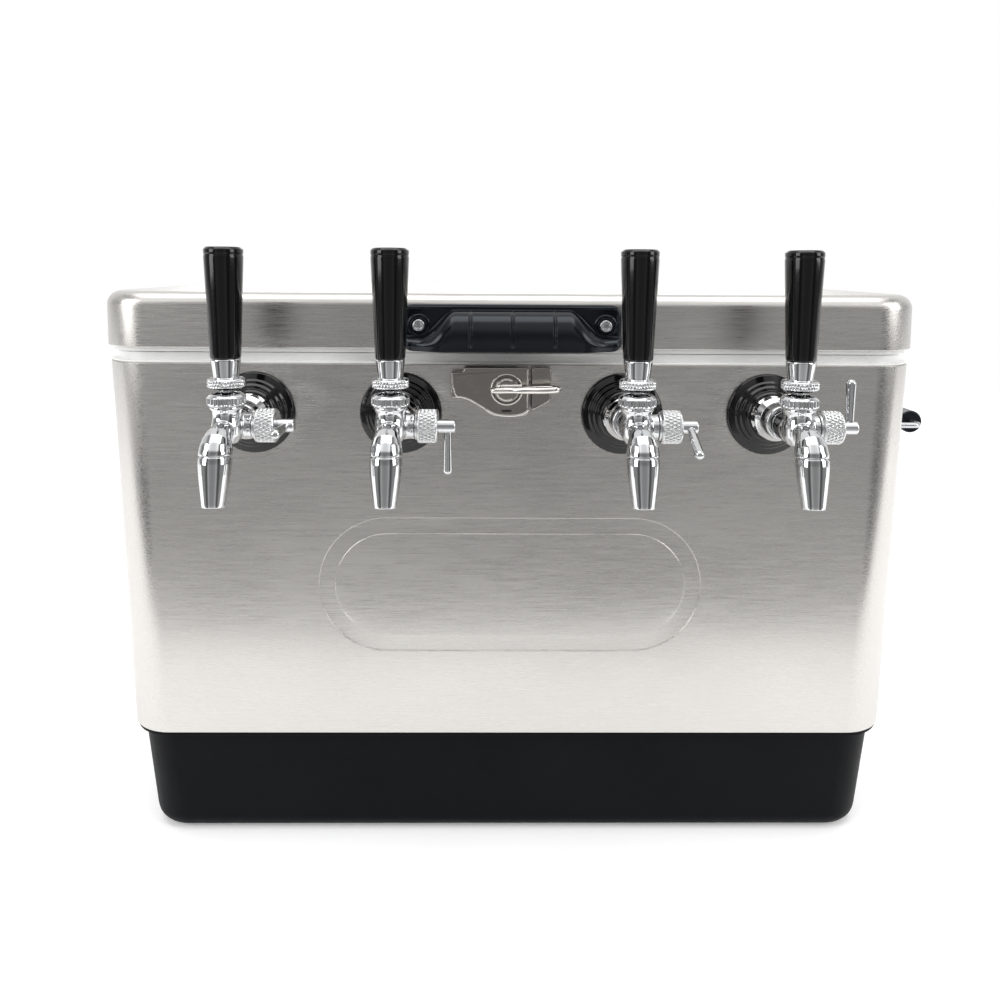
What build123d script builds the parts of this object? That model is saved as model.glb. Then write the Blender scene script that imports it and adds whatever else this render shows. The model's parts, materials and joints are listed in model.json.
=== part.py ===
from build123d import *
import math
import os

os.makedirs("parts", exist_ok=True)

# ---------------------------------------------------------------------------
# Portable ice-box draught dispenser: an insulated steel chest with four taps.
# Frame: origin at the centre of the underside, +Z up, the taps face -Y.
# All driving dimensions are in millimetres.
# ---------------------------------------------------------------------------
BODY_W = 630.0            # steel shell width at its top edge
BODY_D = 410.0            # steel shell depth
BODY_TOP = 383.0          # top edge of the steel shell
BODY_BOTTOM = 91.0        # bottom edge of the steel shell
BODY_R = 38.0             # vertical corner radius
SIDE_TAPER = 2.0          # degrees, each end wall
SHEET = 1.6               # bonded steel sheet
BASE_INSET = 6.0          # moulded base steps in under the sheet
BASE_DRAFT = 4.6          # degrees
BASE_WALL = 6.0
RIM_TOP = 391.0           # top of the white rim collar
OPEN_W = 540.0            # ice compartment mouth
OPEN_D = 310.0
FLOOR_Z = 63.0            # ice compartment floor
LINER_WALL = 3.0
LINER_DRAFT = 1.5
LID_BOTTOM = 395.0
LID_TOP = 437.0
LID_W = 634.0
LID_D = 414.0
LID_R = 40.0
LID_EDGE_R = 11.0
TAP_X = (-195.0, -84.0, 84.0, 195.0)
TAP_Z = 346.0
INLET_X = (-150.0, -55.0, 55.0, 150.0)
INLET_Z = 320.0
FAUCET_U = 66.0           # lever axis, forward of the front wall
PIVOT_V = 12.5            # lever pivot above the shank axis
FLOW_U = 58.0             # flow-control axis, forward of the front wall
FLOW_V = 1.0
FLOW_REST = (0.0, -90.0, -25.0, 90.0)   # lever angle above straight forward
BAND_Z = 211.0            # centre of the pressed stadium band
LATCH_X = -4.0
LATCH_Z = 366.0
HINGE_X = (-190.0, 190.0)
HINGE_Y = 213.5
HINGE_Z = 393.0
BAIL_Z = 313.0
BAIL_OUT = 9.0            # pivot axis out from the end wall
BAIL_REACH = 60.0
DRAIN_Z = 72.0
DRAIN_Y = 60.0

FRONT_Y = -BODY_D / 2
BACK_Y = BODY_D / 2
INNER_Y = OPEN_D / 2
LID_FRONT_Y = -LID_D / 2
FRONT = Plane(origin=(0, FRONT_Y, 0), x_dir=(1, 0, 0), z_dir=(0, -1, 0))
LID_FRONT = Plane(origin=(0, LID_FRONT_Y, 0), x_dir=(1, 0, 0), z_dir=(0, -1, 0))
BACK = Plane(origin=(0, BACK_Y, 0), x_dir=(-1, 0, 0), z_dir=(0, 1, 0))


def half_width(z):
    """Half the width of the steel shell at height z."""
    return BODY_W / 2 - (BODY_TOP - z) * math.tan(math.radians(SIDE_TAPER))


def body_section(z, inset, radius):
    """Rounded rectangle of the body at height z, set in all round."""
    with BuildSketch(Plane.XY.offset(z)) as section:
        RectangleRounded(2 * (half_width(z) - inset), BODY_D - 2 * inset, radius)
    return section.sketch


def base_section(z, inset, radius):
    """Rounded rectangle of the moulded base at height z, set in all round."""
    draw_in = BASE_INSET + inset + (BODY_BOTTOM - z) * math.tan(math.radians(BASE_DRAFT))
    with BuildSketch(Plane.XY.offset(z)) as section:
        RectangleRounded(2 * (half_width(BODY_BOTTOM) - draw_in), BODY_D - 2 * draw_in, radius)
    return section.sketch


def liner_section(z, grow, radius):
    """Rounded rectangle of the ice compartment at height z, grown all round."""
    draw_in = (BODY_TOP - z) * math.tan(math.radians(LINER_DRAFT)) - grow
    with BuildSketch(Plane.XY.offset(z)) as section:
        RectangleRounded(OPEN_W - 2 * draw_in, OPEN_D - 2 * draw_in, radius)
    return section.sketch


def outline(plane, points):
    """A closed straight-sided profile on a plane."""
    with BuildSketch(plane) as section:
        with BuildLine():
            Polyline(*points, close=True)
        make_face()
    return section.sketch


def tap_plane(x):
    """Side plane of a tap: local x runs forward from the wall, local y up."""
    return Plane(origin=(x, FRONT_Y, TAP_Z), x_dir=(0, -1, 0), z_dir=(-1, 0, 0))


def tap_point(x, forward, up):
    """Point of a tap from its distance forward of the wall and its height."""
    return (x, FRONT_Y - forward, TAP_Z + up)


# ---------------------------------------------------------------------------
# Cabinet: base, steel shell, foam, liner, rim collar
# ---------------------------------------------------------------------------
with BuildPart() as base_shoe:
    lip_z = BODY_BOTTOM - 3.5
    loft([base_section(0, 0, 32), base_section(lip_z, 0, 34)], ruled=True)
    bottom = base_shoe.faces().sort_by(Axis.Z)[0]
    fillet(bottom.edges(), radius=15)
    extrude(body_section(lip_z, 1.5, 36), amount=3.4)
    loft([base_section(6, 6, 26), base_section(BODY_BOTTOM, 6, 28)], ruled=True, mode=Mode.SUBTRACT)
    with BuildSketch(Plane.YZ.offset(-320)):
        with Locations((DRAIN_Y, DRAIN_Z)):
            Circle(9.3)
    extrude(amount=60, mode=Mode.SUBTRACT)
base_shoe.part.label = "base_shoe"
export_step(base_shoe.part, "parts/base_shoe.step")

with BuildPart() as steel_shell:
    loft([body_section(BODY_BOTTOM, 0, BODY_R), body_section(BODY_TOP, 0, BODY_R)], ruled=True)
    loft(
        [
            body_section(BODY_BOTTOM, SHEET, BODY_R - SHEET),
            body_section(BODY_TOP, SHEET, BODY_R - SHEET),
        ],
        ruled=True,
        mode=Mode.SUBTRACT,
    )
    # Pressed stadium band on the front: a shallow channel round a level field.
    with BuildSketch(FRONT):
        with Locations((0, BAND_Z)):
            SlotOverall(296, 106)
            SlotOverall(271, 81, mode=Mode.SUBTRACT)
    extrude(amount=-0.9, mode=Mode.SUBTRACT)
    with BuildSketch(FRONT):
        with Locations(*[(x, TAP_Z) for x in TAP_X]):
            Circle(11.3)
    extrude(amount=-5, mode=Mode.SUBTRACT)
    with BuildSketch(BACK):
        with Locations(*[(x, INLET_Z) for x in INLET_X]):
            Circle(8.3)
    extrude(amount=-5, mode=Mode.SUBTRACT)
steel_shell.part.label = "steel_shell"
export_step(steel_shell.part, "parts/steel_shell.step")

with BuildPart() as liner_block:
    loft(
        [
            liner_section(FLOOR_Z - LINER_WALL, LINER_WALL, 31),
            liner_section(BODY_TOP, LINER_WALL, 35),
        ],
        ruled=True,
    )
    fillet(liner_block.faces().sort_by(Axis.Z)[0].edges(), radius=18)

with BuildPart() as liner_void:
    loft([liner_section(FLOOR_Z, 0, 28), liner_section(BODY_TOP + 10, 0, 32)], ruled=True)
    fillet(liner_void.faces().sort_by(Axis.Z)[0].edges(), radius=15)

with BuildPart() as inner_liner:
    add(liner_block.part)
    add(liner_void.part, mode=Mode.SUBTRACT)
    with BuildSketch(FRONT.offset(-30)):
        with Locations(*[(x, TAP_Z) for x in TAP_X]):
            Circle(11.3)
    extrude(amount=-30, mode=Mode.SUBTRACT)
    with BuildSketch(BACK.offset(-30)):
        with Locations(*[(x, INLET_Z) for x in INLET_X]):
            Circle(8.3)
    extrude(amount=-30, mode=Mode.SUBTRACT)
    with BuildSketch(Plane.YZ.offset(-290)):
        with Locations((DRAIN_Y, DRAIN_Z)):
            Circle(7.2)
    extrude(amount=60, mode=Mode.SUBTRACT)
inner_liner.part.label = "inner_liner"
export_step(inner_liner.part, "parts/inner_liner.step")

with BuildPart() as foam_core:
    loft([base_section(6.3, 6.3, 26), base_section(BODY_BOTTOM, 6.3, 28)], ruled=True)
    loft(
        [
            body_section(BODY_BOTTOM, SHEET + 0.2, BODY_R - 2),
            body_section(BODY_TOP, SHEET + 0.2, BODY_R - 2),
        ],
        ruled=True,
    )
    add(liner_block.part, mode=Mode.SUBTRACT)
    with BuildSketch(FRONT):
        with Locations(*[(x, TAP_Z) for x in TAP_X]):
            Circle(11.3)
    extrude(amount=-60, mode=Mode.SUBTRACT)
    with BuildSketch(BACK):
        with Locations(*[(x, INLET_Z) for x in INLET_X]):
            Circle(8.3)
    extrude(amount=-60, mode=Mode.SUBTRACT)
    with BuildSketch(Plane.YZ.offset(-320)):
        with Locations((DRAIN_Y, DRAIN_Z)):
            Circle(9.3)
    extrude(amount=80, mode=Mode.SUBTRACT)
foam_core.part.label = "foam_core"
export_step(foam_core.part, "parts/foam_core.step")

with BuildPart() as rim_collar:
    with BuildSketch(Plane.XY.offset(BODY_TOP)):
        RectangleRounded(BODY_W - 11, BODY_D - 11, BODY_R - 5.5)
        RectangleRounded(OPEN_W, OPEN_D, 32, mode=Mode.SUBTRACT)
    extrude(amount=RIM_TOP - BODY_TOP)
    with BuildSketch(Plane.XY.offset(BODY_TOP)):
        RectangleRounded(BODY_W - 2, BODY_D - 2, BODY_R - 1)
        RectangleRounded(OPEN_W + 20, OPEN_D + 20, 36, mode=Mode.SUBTRACT)
    extrude(amount=1.8)
rim_collar.part.label = "rim_collar"
export_step(rim_collar.part, "parts/rim_collar.step")

# ---------------------------------------------------------------------------
# Lid: skin, foam, liner with plug, gasket
# ---------------------------------------------------------------------------
with BuildPart() as lid_void:
    with BuildSketch(Plane.XY.offset(LID_BOTTOM - 1)):
        RectangleRounded(LID_W - 2 * SHEET, LID_D - 2 * SHEET, LID_R - SHEET)
    extrude(amount=LID_TOP - SHEET - LID_BOTTOM + 1)
    fillet(lid_void.faces().sort_by(Axis.Z)[-1].edges(), radius=LID_EDGE_R - SHEET)

with BuildPart() as lid_skin:
    with BuildSketch(Plane.XY.offset(LID_BOTTOM)):
        RectangleRounded(LID_W, LID_D, LID_R)
    extrude(amount=LID_TOP - LID_BOTTOM)
    fillet(lid_skin.faces().sort_by(Axis.Z)[-1].edges(), radius=LID_EDGE_R)
    add(lid_void.part, mode=Mode.SUBTRACT)
lid_skin.part.label = "lid_skin"
export_step(lid_skin.part, "parts/lid_skin.step")

with BuildPart() as lid_foam:
    with BuildSketch(Plane.XY.offset(398)):
        RectangleRounded(LID_W - 2 * SHEET - 0.6, LID_D - 2 * SHEET - 0.6, LID_R - SHEET - 0.3)
    extrude(amount=LID_TOP - SHEET - 0.3 - 398)
    fillet(lid_foam.faces().sort_by(Axis.Z)[-1].edges(), radius=LID_EDGE_R - SHEET)
    with BuildSketch(Plane.XY.offset(382.3)):
        RectangleRounded(523.4, 293.4, 26)
    extrude(amount=15.7)
lid_foam.part.label = "lid_foam"
export_step(lid_foam.part, "parts/lid_foam.step")

with BuildPart() as lid_liner:
    with BuildSketch(Plane.XY.offset(391.8)):
        RectangleRounded(LID_W - 8, LID_D - 8, LID_R - 4)
    extrude(amount=6.0)
    with BuildSketch(Plane.XY.offset(379)):
        RectangleRounded(530, 300, 29)
    extrude(amount=12.8)
    fillet(lid_liner.faces().sort_by(Axis.Z)[0].edges(), radius=2.5)
    with BuildSketch(Plane.XY.offset(382)):
        RectangleRounded(524, 294, 26)
    extrude(amount=20, mode=Mode.SUBTRACT)
    with BuildSketch(Plane.XY.offset(391.8)):
        RectangleRounded(580, 354, 40)
        RectangleRounded(564, 338, 32, mode=Mode.SUBTRACT)
    extrude(amount=3, mode=Mode.SUBTRACT)
lid_liner.part.label = "lid_liner"
export_step(lid_liner.part, "parts/lid_liner.step")

with BuildPart() as lid_gasket:
    with BuildSketch(Plane.XY.offset(391.3)):
        RectangleRounded(579.6, 353.6, 39.8)
        RectangleRounded(564.4, 338.4, 32.2, mode=Mode.SUBTRACT)
    extrude(amount=3.4)
lid_gasket.part.label = "lid_gasket"
export_step(lid_gasket.part, "parts/lid_gasket.step")

# ---------------------------------------------------------------------------
# Lid handle: a bell-shaped hood over a finger pocket that opens downward
# ---------------------------------------------------------------------------
HANDLE_Z = 411.5
with BuildPart() as lid_handle:
    with BuildSketch(LID_FRONT):
        with Locations((0, HANDLE_Z)):
            RectangleRounded(164, 35, 5)
    extrude(amount=3)
    with BuildSketch(LID_FRONT.offset(3)):
        with BuildLine():
            Line((-79, 394.2), (79, 394.2))
            Bezier((79, 394.2), (62, 402), (54, 424.5), (41, 424.5))
            Line((41, 424.5), (-41, 424.5))
            Bezier((-41, 424.5), (-54, 424.5), (-62, 402), (-79, 394.2))
        make_face()
    extrude(amount=19)
    hood_edges = lid_handle.faces().sort_by(Axis.Y)[0].edges()
    fillet(hood_edges.sort_by(Axis.Z)[1:], radius=4)
    with BuildSketch(LID_FRONT.offset(3)):
        with BuildLine():
            Polyline((-71, 393.4), (-71, 390), (71, 390), (71, 393.4))
            Bezier((71, 393.4), (58, 400), (51, 421), (39.5, 421))
            Line((39.5, 421), (-39.5, 421))
            Bezier((-39.5, 421), (-51, 421), (-58, 400), (-71, 393.4))
        make_face()
    extrude(amount=15.5, mode=Mode.SUBTRACT)
    with BuildSketch(LID_FRONT.offset(20.5)):
        with Locations((-32, 410.5), (0, 410.5), (32, 410.5)):
            SlotOverall(29, 5.4, rotation=90)
    extrude(amount=3.2)
lid_handle.part.label = "lid_handle"
export_step(lid_handle.part, "parts/lid_handle.step")

with BuildPart() as lid_handle_screws:
    for x in (-70, 70):
        with BuildSketch(LID_FRONT.offset(3)):
            with Locations((x, 413)):
                Circle(6.4)
        extrude(amount=0.9)
        with BuildSketch(LID_FRONT.offset(3.9)):
            with Locations((x, 413)):
                Circle(4.6)
        extrude(amount=2.2)
        with BuildSketch(LID_FRONT.offset(6.1)):
            with Locations((x, 413)):
                Rectangle(5, 1.1, rotation=45)
                Rectangle(5, 1.1, rotation=-45)
        extrude(amount=-1.5, mode=Mode.SUBTRACT)
lid_handle_screws.part.label = "lid_handle_screws"
export_step(lid_handle_screws.part, "parts/lid_handle_screws.step")

with BuildPart() as latch_keeper:
    with BuildSketch(LID_FRONT.offset(3)):
        with Locations((10.5, 402)):
            Rectangle(15, 12)
    extrude(amount=1.2)
    with BuildSketch(LID_FRONT.offset(3)):
        with Locations((10.5, 396.9)):
            Rectangle(15, 1.8)
    extrude(amount=6)
latch_keeper.part.label = "latch_keeper"
export_step(latch_keeper.part, "parts/latch_keeper.step")

# ---------------------------------------------------------------------------
# Rear hinges
# ---------------------------------------------------------------------------
with BuildPart() as hinge_body_leaves:
    for x in HINGE_X:
        with BuildSketch(BACK):
            with Locations((-x, 366)):
                RectangleRounded(64, 44, 4)
        extrude(amount=2)
        for side in (-1, 1):
            knuckle = Plane(origin=(x + side * 21.5, 0, 0), x_dir=(0, 1, 0), z_dir=(1, 0, 0))
            with BuildSketch(knuckle):
                with Locations((HINGE_Y, HINGE_Z)):
                    Circle(4.8)
                Polygon(
                    (BACK_Y, 380),
                    (BACK_Y + 2, 380),
                    (HINGE_Y + 4.4, HINGE_Z - 1.8),
                    (HINGE_Y - 3, HINGE_Z - 3),
                    (BACK_Y, 387.5),
                    align=None,
                )
                with Locations((HINGE_Y, HINGE_Z)):
                    Circle(2.55, mode=Mode.SUBTRACT)
            extrude(amount=9, both=True)
hinge_body_leaves.part.label = "hinge_body_leaves"
export_step(hinge_body_leaves.part, "parts/hinge_body_leaves.step")

with BuildPart() as hinge_lid_leaves:
    for x in HINGE_X:
        with BuildSketch(Plane(origin=(0, LID_D / 2, 0), x_dir=(-1, 0, 0), z_dir=(0, 1, 0))):
            with Locations((-x, 412.5)):
                RectangleRounded(64, 27, 4)
        extrude(amount=2)
        with BuildSketch(Plane.YZ.offset(x)):
            with Locations((HINGE_Y, HINGE_Z)):
                Circle(4.8)
            Polygon(
                (LID_D / 2, 406),
                (LID_D / 2, 399.5),
                (HINGE_Y - 3.5, HINGE_Z + 3.4),
                (HINGE_Y + 3, HINGE_Z + 3.6),
                (LID_D / 2 + 2, 406),
                align=None,
            )
            with Locations((HINGE_Y, HINGE_Z)):
                Circle(2.55, mode=Mode.SUBTRACT)
        extrude(amount=11.5, both=True)
hinge_lid_leaves.part.label = "hinge_lid_leaves"
export_step(hinge_lid_leaves.part, "parts/hinge_lid_leaves.step")

with BuildPart() as hinge_pins:
    for x in HINGE_X:
        with BuildSketch(Plane.YZ.offset(x - 33)):
            with Locations((HINGE_Y, HINGE_Z)):
                Circle(2.5)
        extrude(amount=66)
        for side in (-1, 1):
            with BuildSketch(Plane.YZ.offset(x + side * 32)):
                with Locations((HINGE_Y, HINGE_Z)):
                    Circle(3.8)
            extrude(amount=1.2, both=True)
hinge_pins.part.label = "hinge_pins"
export_step(hinge_pins.part, "parts/hinge_pins.step")

with BuildPart() as hinge_screws:
    for x in HINGE_X:
        for dx, z in ((-22, 354), (22, 354), (-22, 370), (22, 370)):
            with BuildSketch(BACK.offset(2)):
                with Locations((-x + dx, z)):
                    Circle(4.2)
            extrude(amount=1.8, taper=25)
hinge_screws.part.label = "hinge_screws"
export_step(hinge_screws.part, "parts/hinge_screws.step")

with BuildPart() as hinge_lid_screws:
    for x in HINGE_X:
        for dx in (-22, 22):
            with BuildSketch(BACK.offset(4)):
                with Locations((-x + dx, 416)):
                    Circle(4.2)
            extrude(amount=1.8, taper=25)
hinge_lid_screws.part.label = "hinge_lid_screws"
export_step(hinge_lid_screws.part, "parts/hinge_lid_screws.step")

# ---------------------------------------------------------------------------
# Front latch: a turned cam rises out of the pan and hooks over the lid keeper
# ---------------------------------------------------------------------------
PAN_DEPTH = 12.0
PAN_SHEET = 1.5
PAN = (
    (-41.8, -7),
    (-41.8, 12.6),
    (-33, 12.6),
    (-31.4, 16.4),
    (33.2, 16.4),
    (33.2, -8.5),
    (19.5, -15.5),
    (14.5, -20),
    (2, -21.4),
    (-11.5, -20),
    (-17, -15.5),
    (-31, -7),
)
with BuildPart() as latch_cover:
    with BuildSketch(FRONT) as pan_outline:
        with BuildLine():
            Polyline(*[(LATCH_X + x, LATCH_Z + z) for x, z in PAN], close=True)
        make_face()
        fillet(pan_outline.vertices(), radius=2)
    extrude(amount=PAN_DEPTH)
    fillet(latch_cover.faces().sort_by(Axis.Y)[0].edges(), radius=1.2)
    with BuildSketch(FRONT):
        with BuildLine():
            Polyline(*[(LATCH_X + x, LATCH_Z + z) for x, z in PAN], close=True)
        make_face()
        offset(amount=-PAN_SHEET, mode=Mode.REPLACE)
    extrude(amount=PAN_DEPTH - PAN_SHEET, mode=Mode.SUBTRACT)
    # Open top where the cam swings out.
    with BuildSketch(FRONT):
        with Locations((LATCH_X - 17.7, LATCH_Z + 22)):
            Rectangle(47.6, 22)
    extrude(amount=PAN_DEPTH - PAN_SHEET, mode=Mode.SUBTRACT)
    with BuildSketch(FRONT.offset(PAN_DEPTH - 0.5)):
        with Locations((LATCH_X, LATCH_Z)):
            Circle(12.1)
            Circle(10.3, mode=Mode.SUBTRACT)
    extrude(amount=2.0)
    with BuildSketch(FRONT):
        with Locations((LATCH_X, LATCH_Z)):
            Circle(5.06)
        with Locations((LATCH_X, LATCH_Z - 16.2)):
            Rectangle(8, 2.4)
    extrude(amount=PAN_DEPTH + 3, mode=Mode.SUBTRACT)
    # Joint line between the main plate and the catch side.
    with BuildSketch(FRONT.offset(PAN_DEPTH)):
        with Locations((LATCH_X + 17.5, LATCH_Z + 1)):
            Rectangle(1.2, 30)
    extrude(amount=-0.8, mode=Mode.SUBTRACT)
latch_cover.part.label = "latch_cover"
export_step(latch_cover.part, "parts/latch_cover.step")

with BuildPart() as latch_cam:
    with BuildSketch(FRONT.offset(6.5)):
        with Locations((LATCH_X, LATCH_Z)):
            Circle(8)
        with Locations((LATCH_X - 17.5, LATCH_Z)):
            Rectangle(35, 10)
        with BuildLine():
            Polyline(
                (LATCH_X - 35, LATCH_Z - 5),
                (LATCH_X - 37.9, LATCH_Z - 5),
                (LATCH_X - 38.4, LATCH_Z),
                (LATCH_X - 37.9, LATCH_Z + 6),
                (LATCH_X - 36.9, LATCH_Z + 10.6),
                (LATCH_X - 33.4, LATCH_Z + 10.6),
                (LATCH_X - 35, LATCH_Z + 5),
                close=True,
            )
        make_face()
    extrude(amount=3)
latch_cam.part.label = "latch_cam"
export_step(latch_cam.part, "parts/latch_cam.step")

with BuildPart() as latch_thumb_turn:
    with BuildSketch(FRONT.offset(9.5)):
        with Locations((LATCH_X, LATCH_Z)):
            Circle(5.0)
    extrude(amount=5)
    with BuildSketch(FRONT.offset(12.7)):
        with Locations((LATCH_X, LATCH_Z)):
            Circle(9.4)
    extrude(amount=2.6)
    fillet(latch_thumb_turn.faces().sort_by(Axis.Y)[0].edges(), radius=1.0)
    with BuildSketch(Plane.XY.offset(LATCH_Z - 1.6)):
        with BuildLine():
            Polyline(
                (LATCH_X - 7, FRONT_Y - 14.5),
                (LATCH_X - 7, FRONT_Y - 19),
                (LATCH_X - 3, FRONT_Y - 24),
                (LATCH_X + 8, FRONT_Y - 28),
                (LATCH_X + 32, FRONT_Y - 31),
                (LATCH_X + 39, FRONT_Y - 28),
                (LATCH_X + 39, FRONT_Y - 20),
                (LATCH_X + 30, FRONT_Y - 17.2),
                (LATCH_X + 8, FRONT_Y - 16.4),
                (LATCH_X + 7, FRONT_Y - 14.5),
                close=True,
            )
        make_face()
        with Locations((LATCH_X + 25, FRONT_Y - 23.4)):
            SlotOverall(20, 7, mode=Mode.SUBTRACT)
    extrude(amount=3.2)
    blade_edges = latch_thumb_turn.edges().filter_by(Axis.Z)
    fillet(blade_edges.filter_by(lambda e: e.center().Y < FRONT_Y - 18), radius=1.6)
latch_thumb_turn.part.label = "latch_thumb_turn"
export_step(latch_thumb_turn.part, "parts/latch_thumb_turn.step")

# ---------------------------------------------------------------------------
# Through-wall shanks with flanges, locknuts and coupling nuts
# ---------------------------------------------------------------------------
SHANK_R = 11.0
with BuildPart() as shank_flanges:
    for x in TAP_X:
        side = tap_plane(x)
        profile = outline(
            side,
            [
                (0, 11.3),
                (0, 31),
                (2.2, 31),
                (3.4, 29.6),
                (3.8, 26.6),
                (5.6, 25.4),
                (7.2, 22.4),
                (7.6, 20.4),
                (9.6, 19.6),
                (11.4, 17.4),
                (13, 16.4),
                (13, 11.3),
            ],
        )
        revolve(profile, axis=Axis(side.origin, side.x_dir))
shank_flanges.part.label = "shank_flanges"
export_step(shank_flanges.part, "parts/shank_flanges.step")

with BuildPart() as shanks:
    for x in TAP_X:
        side = tap_plane(x)
        profile = outline(side, [(-72, 4.2), (-72, SHANK_R), (22, SHANK_R), (22, 4.2)])
        revolve(profile, axis=Axis(side.origin, side.x_dir))
shanks.part.label = "shanks"
export_step(shanks.part, "parts/shanks.step")

with BuildPart() as shank_locknuts:
    for x in TAP_X:
        with BuildSketch(FRONT.offset(-51.7)):
            with Locations((x, TAP_Z)):
                RegularPolygon(17, 6)
                Circle(SHANK_R + 0.03, mode=Mode.SUBTRACT)
        extrude(amount=-9)
shank_locknuts.part.label = "shank_locknuts"
export_step(shank_locknuts.part, "parts/shank_locknuts.step")

with BuildPart() as coupling_nuts:
    for x in TAP_X:
        side = tap_plane(x)
        profile = outline(
            side,
            [
                (13.1, SHANK_R + 0.03),
                (13.1, 15.2),
                (14.3, 16.4),
                (22, 16.4),
                (23.4, 15.2),
                (26.5, 13.4),
                (36.5, 12.6),
                (37.8, 11.6),
                (37.8, 9.6),
                (22.1, 9.6),
                (22.1, SHANK_R + 0.03),
            ],
        )
        revolve(profile, axis=Axis(side.origin, side.x_dir))
        with BuildSketch(FRONT.offset(13.1)):
            with Locations((x, TAP_Z)):
                with PolarLocations(17.2, 8):
                    Circle(1.9)
        extrude(amount=10, mode=Mode.SUBTRACT)
coupling_nuts.part.label = "coupling_nuts"
export_step(coupling_nuts.part, "parts/coupling_nuts.step")

# ---------------------------------------------------------------------------
# Faucets: body, spout nozzle, collar, flow-control bonnet and its lever,
# and the tap lever with its handle
# ---------------------------------------------------------------------------
BEND_U = 76.4             # where the outlet starts to turn down
BEND_R = 15.9
BEND_TURN = 79.5          # degrees, straight forward to nearly straight down
SPOUT_R = 10.75
NOZZLE_LEN = 33.0


def bend_plane(x, turn):
    """Cross-section plane of the outlet after it has turned down by an angle."""
    angle = math.radians(turn)
    forward = BEND_U + BEND_R * math.sin(angle)
    up = -BEND_R * (1 - math.cos(angle))
    heading = (0, -math.cos(angle), -math.sin(angle))
    return Plane(origin=tap_point(x, forward, up), x_dir=(1, 0, 0), z_dir=heading)


for number, x in enumerate(TAP_X, start=1):
    side = tap_plane(x)
    upright = Plane(origin=tap_point(x, FAUCET_U, 0), x_dir=(1, 0, 0), z_dir=(0, 0, 1))
    across = Plane(origin=tap_point(x, FLOW_U, FLOW_V), x_dir=(0, 1, 0), z_dir=(1, 0, 0))

    with BuildPart() as faucet_body:
        barrel = outline(
            side,
            [(22.3, 0), (22.3, 9.4), (38.5, 9.4), (40, 10.4), (50, 11.2), (62, 11.2), (66, 9), (66, 0)],
        )
        revolve(barrel, axis=Axis(side.origin, side.x_dir))
        with BuildSketch(upright.offset(-9)):
            Circle(8.8)
        with BuildSketch(upright.offset(-5)):
            Circle(11.4)
        with BuildSketch(upright.offset(13)):
            Circle(11.4)
        with BuildSketch(upright.offset(16.6)):
            Circle(10.4)
        loft(ruled=True)
        # Outlet: grows from a narrow throat to the spout seam as it turns down.
        throat = [bend_plane(x, 0).offset(-12)]
        throat += [bend_plane(x, BEND_TURN * step / 4) for step in range(5)]
        radii = (6.9, 8.3, 9.6, 10.6, 11.1, SPOUT_R)
        for plane, radius in zip(throat, radii):
            with BuildSketch(plane):
                Circle(radius)
        loft()
        # Boss for the flow control on the +X side.
        with BuildSketch(across):
            Circle(9.8)
        extrude(amount=16)
        with BuildSketch(across.offset(10)):
            Circle(4.9)
        extrude(amount=8, mode=Mode.SUBTRACT)
        # Socket for the lever ball.
        with BuildSketch(upright.offset(5.5)):
            Circle(7.2)
        extrude(amount=12, mode=Mode.SUBTRACT)
    faucet_body.part.label = f"faucet_body_{number}"
    export_step(faucet_body.part, f"parts/faucet_body_{number}.step")

    with BuildPart() as flow_lever:
        with BuildSketch(across.offset(11)):
            Circle(4.6)
        extrude(amount=33)
        fillet(flow_lever.edges().sort_by(Axis.X)[-1], radius=1.5)
        angle = math.radians(FLOW_REST[number - 1])
        reach = (0, -math.cos(angle), math.sin(angle))
        arm_start = Vector(*across.origin) + Vector(38.5, 0, 0)
        arm = Plane(origin=arm_start, x_dir=(1, 0, 0), z_dir=reach)
        with BuildSketch(arm):
            Circle(2.5)
        with BuildSketch(arm.offset(30)):
            Circle(3.3)
        loft()
        with BuildSketch(arm.offset(30)):
            Circle(3.3)
        extrude(amount=4)
        tip = flow_lever.faces().sort_by(lambda f: f.center().dot(Vector(*reach)))[-1]
        fillet(tip.edges(), radius=3)
    flow_lever.part.label = f"flow_lever_{number}"
    export_step(flow_lever.part, f"parts/flow_lever_{number}.step")

    pivot = Plane(origin=tap_point(x, FAUCET_U, PIVOT_V), x_dir=(1, 0, 0), z_dir=(0, -1, 0))
    with BuildPart() as tap_lever:
        with BuildSketch(pivot):
            with BuildLine():
                Line((0, 36), (0, -5.5))
                ThreePointArc((0, -5.5), (5.08, -2.1), (5.12, 2))
                Polyline(
                    (5.12, 2),
                    (3.1, 3.6),
                    (3.1, 14.6),
                    (9.6, 15.8),
                    (12.5, 17),
                    (12.5, 21.6),
                    (11.4, 22.8),
                    (8.4, 22.8),
                    (8.6, 24),
                    (10, 35),
                    (10, 36),
                    (0, 36),
                )
            make_face()
        revolve(axis=Axis(pivot.origin, (0, 0, 1)))
        # Cross pin of the lever, on the axis it turns about.
        with BuildSketch(Plane(origin=pivot.origin, x_dir=(0, 1, 0), z_dir=(1, 0, 0))):
            Circle(1.8)
        extrude(amount=6.4, both=True)
    tap_lever.part.label = f"tap_lever_{number}"
    export_step(tap_lever.part, f"parts/tap_lever_{number}.step")

    with BuildPart() as tap_handle:
        grip = outline(
            pivot,
            [
                (0, 36.1),
                (9.6, 36.1),
                (10.2, 36.9),
                (13.1, 104),
                (13.1, 108),
                (12.2, 110),
                (10.2, 111),
                (0, 111),
            ],
        )
        revolve(grip, axis=Axis(pivot.origin, (0, 0, 1)))
    tap_handle.part.label = f"tap_handle_{number}"
    export_step(tap_handle.part, f"parts/tap_handle_{number}.step")

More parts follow.
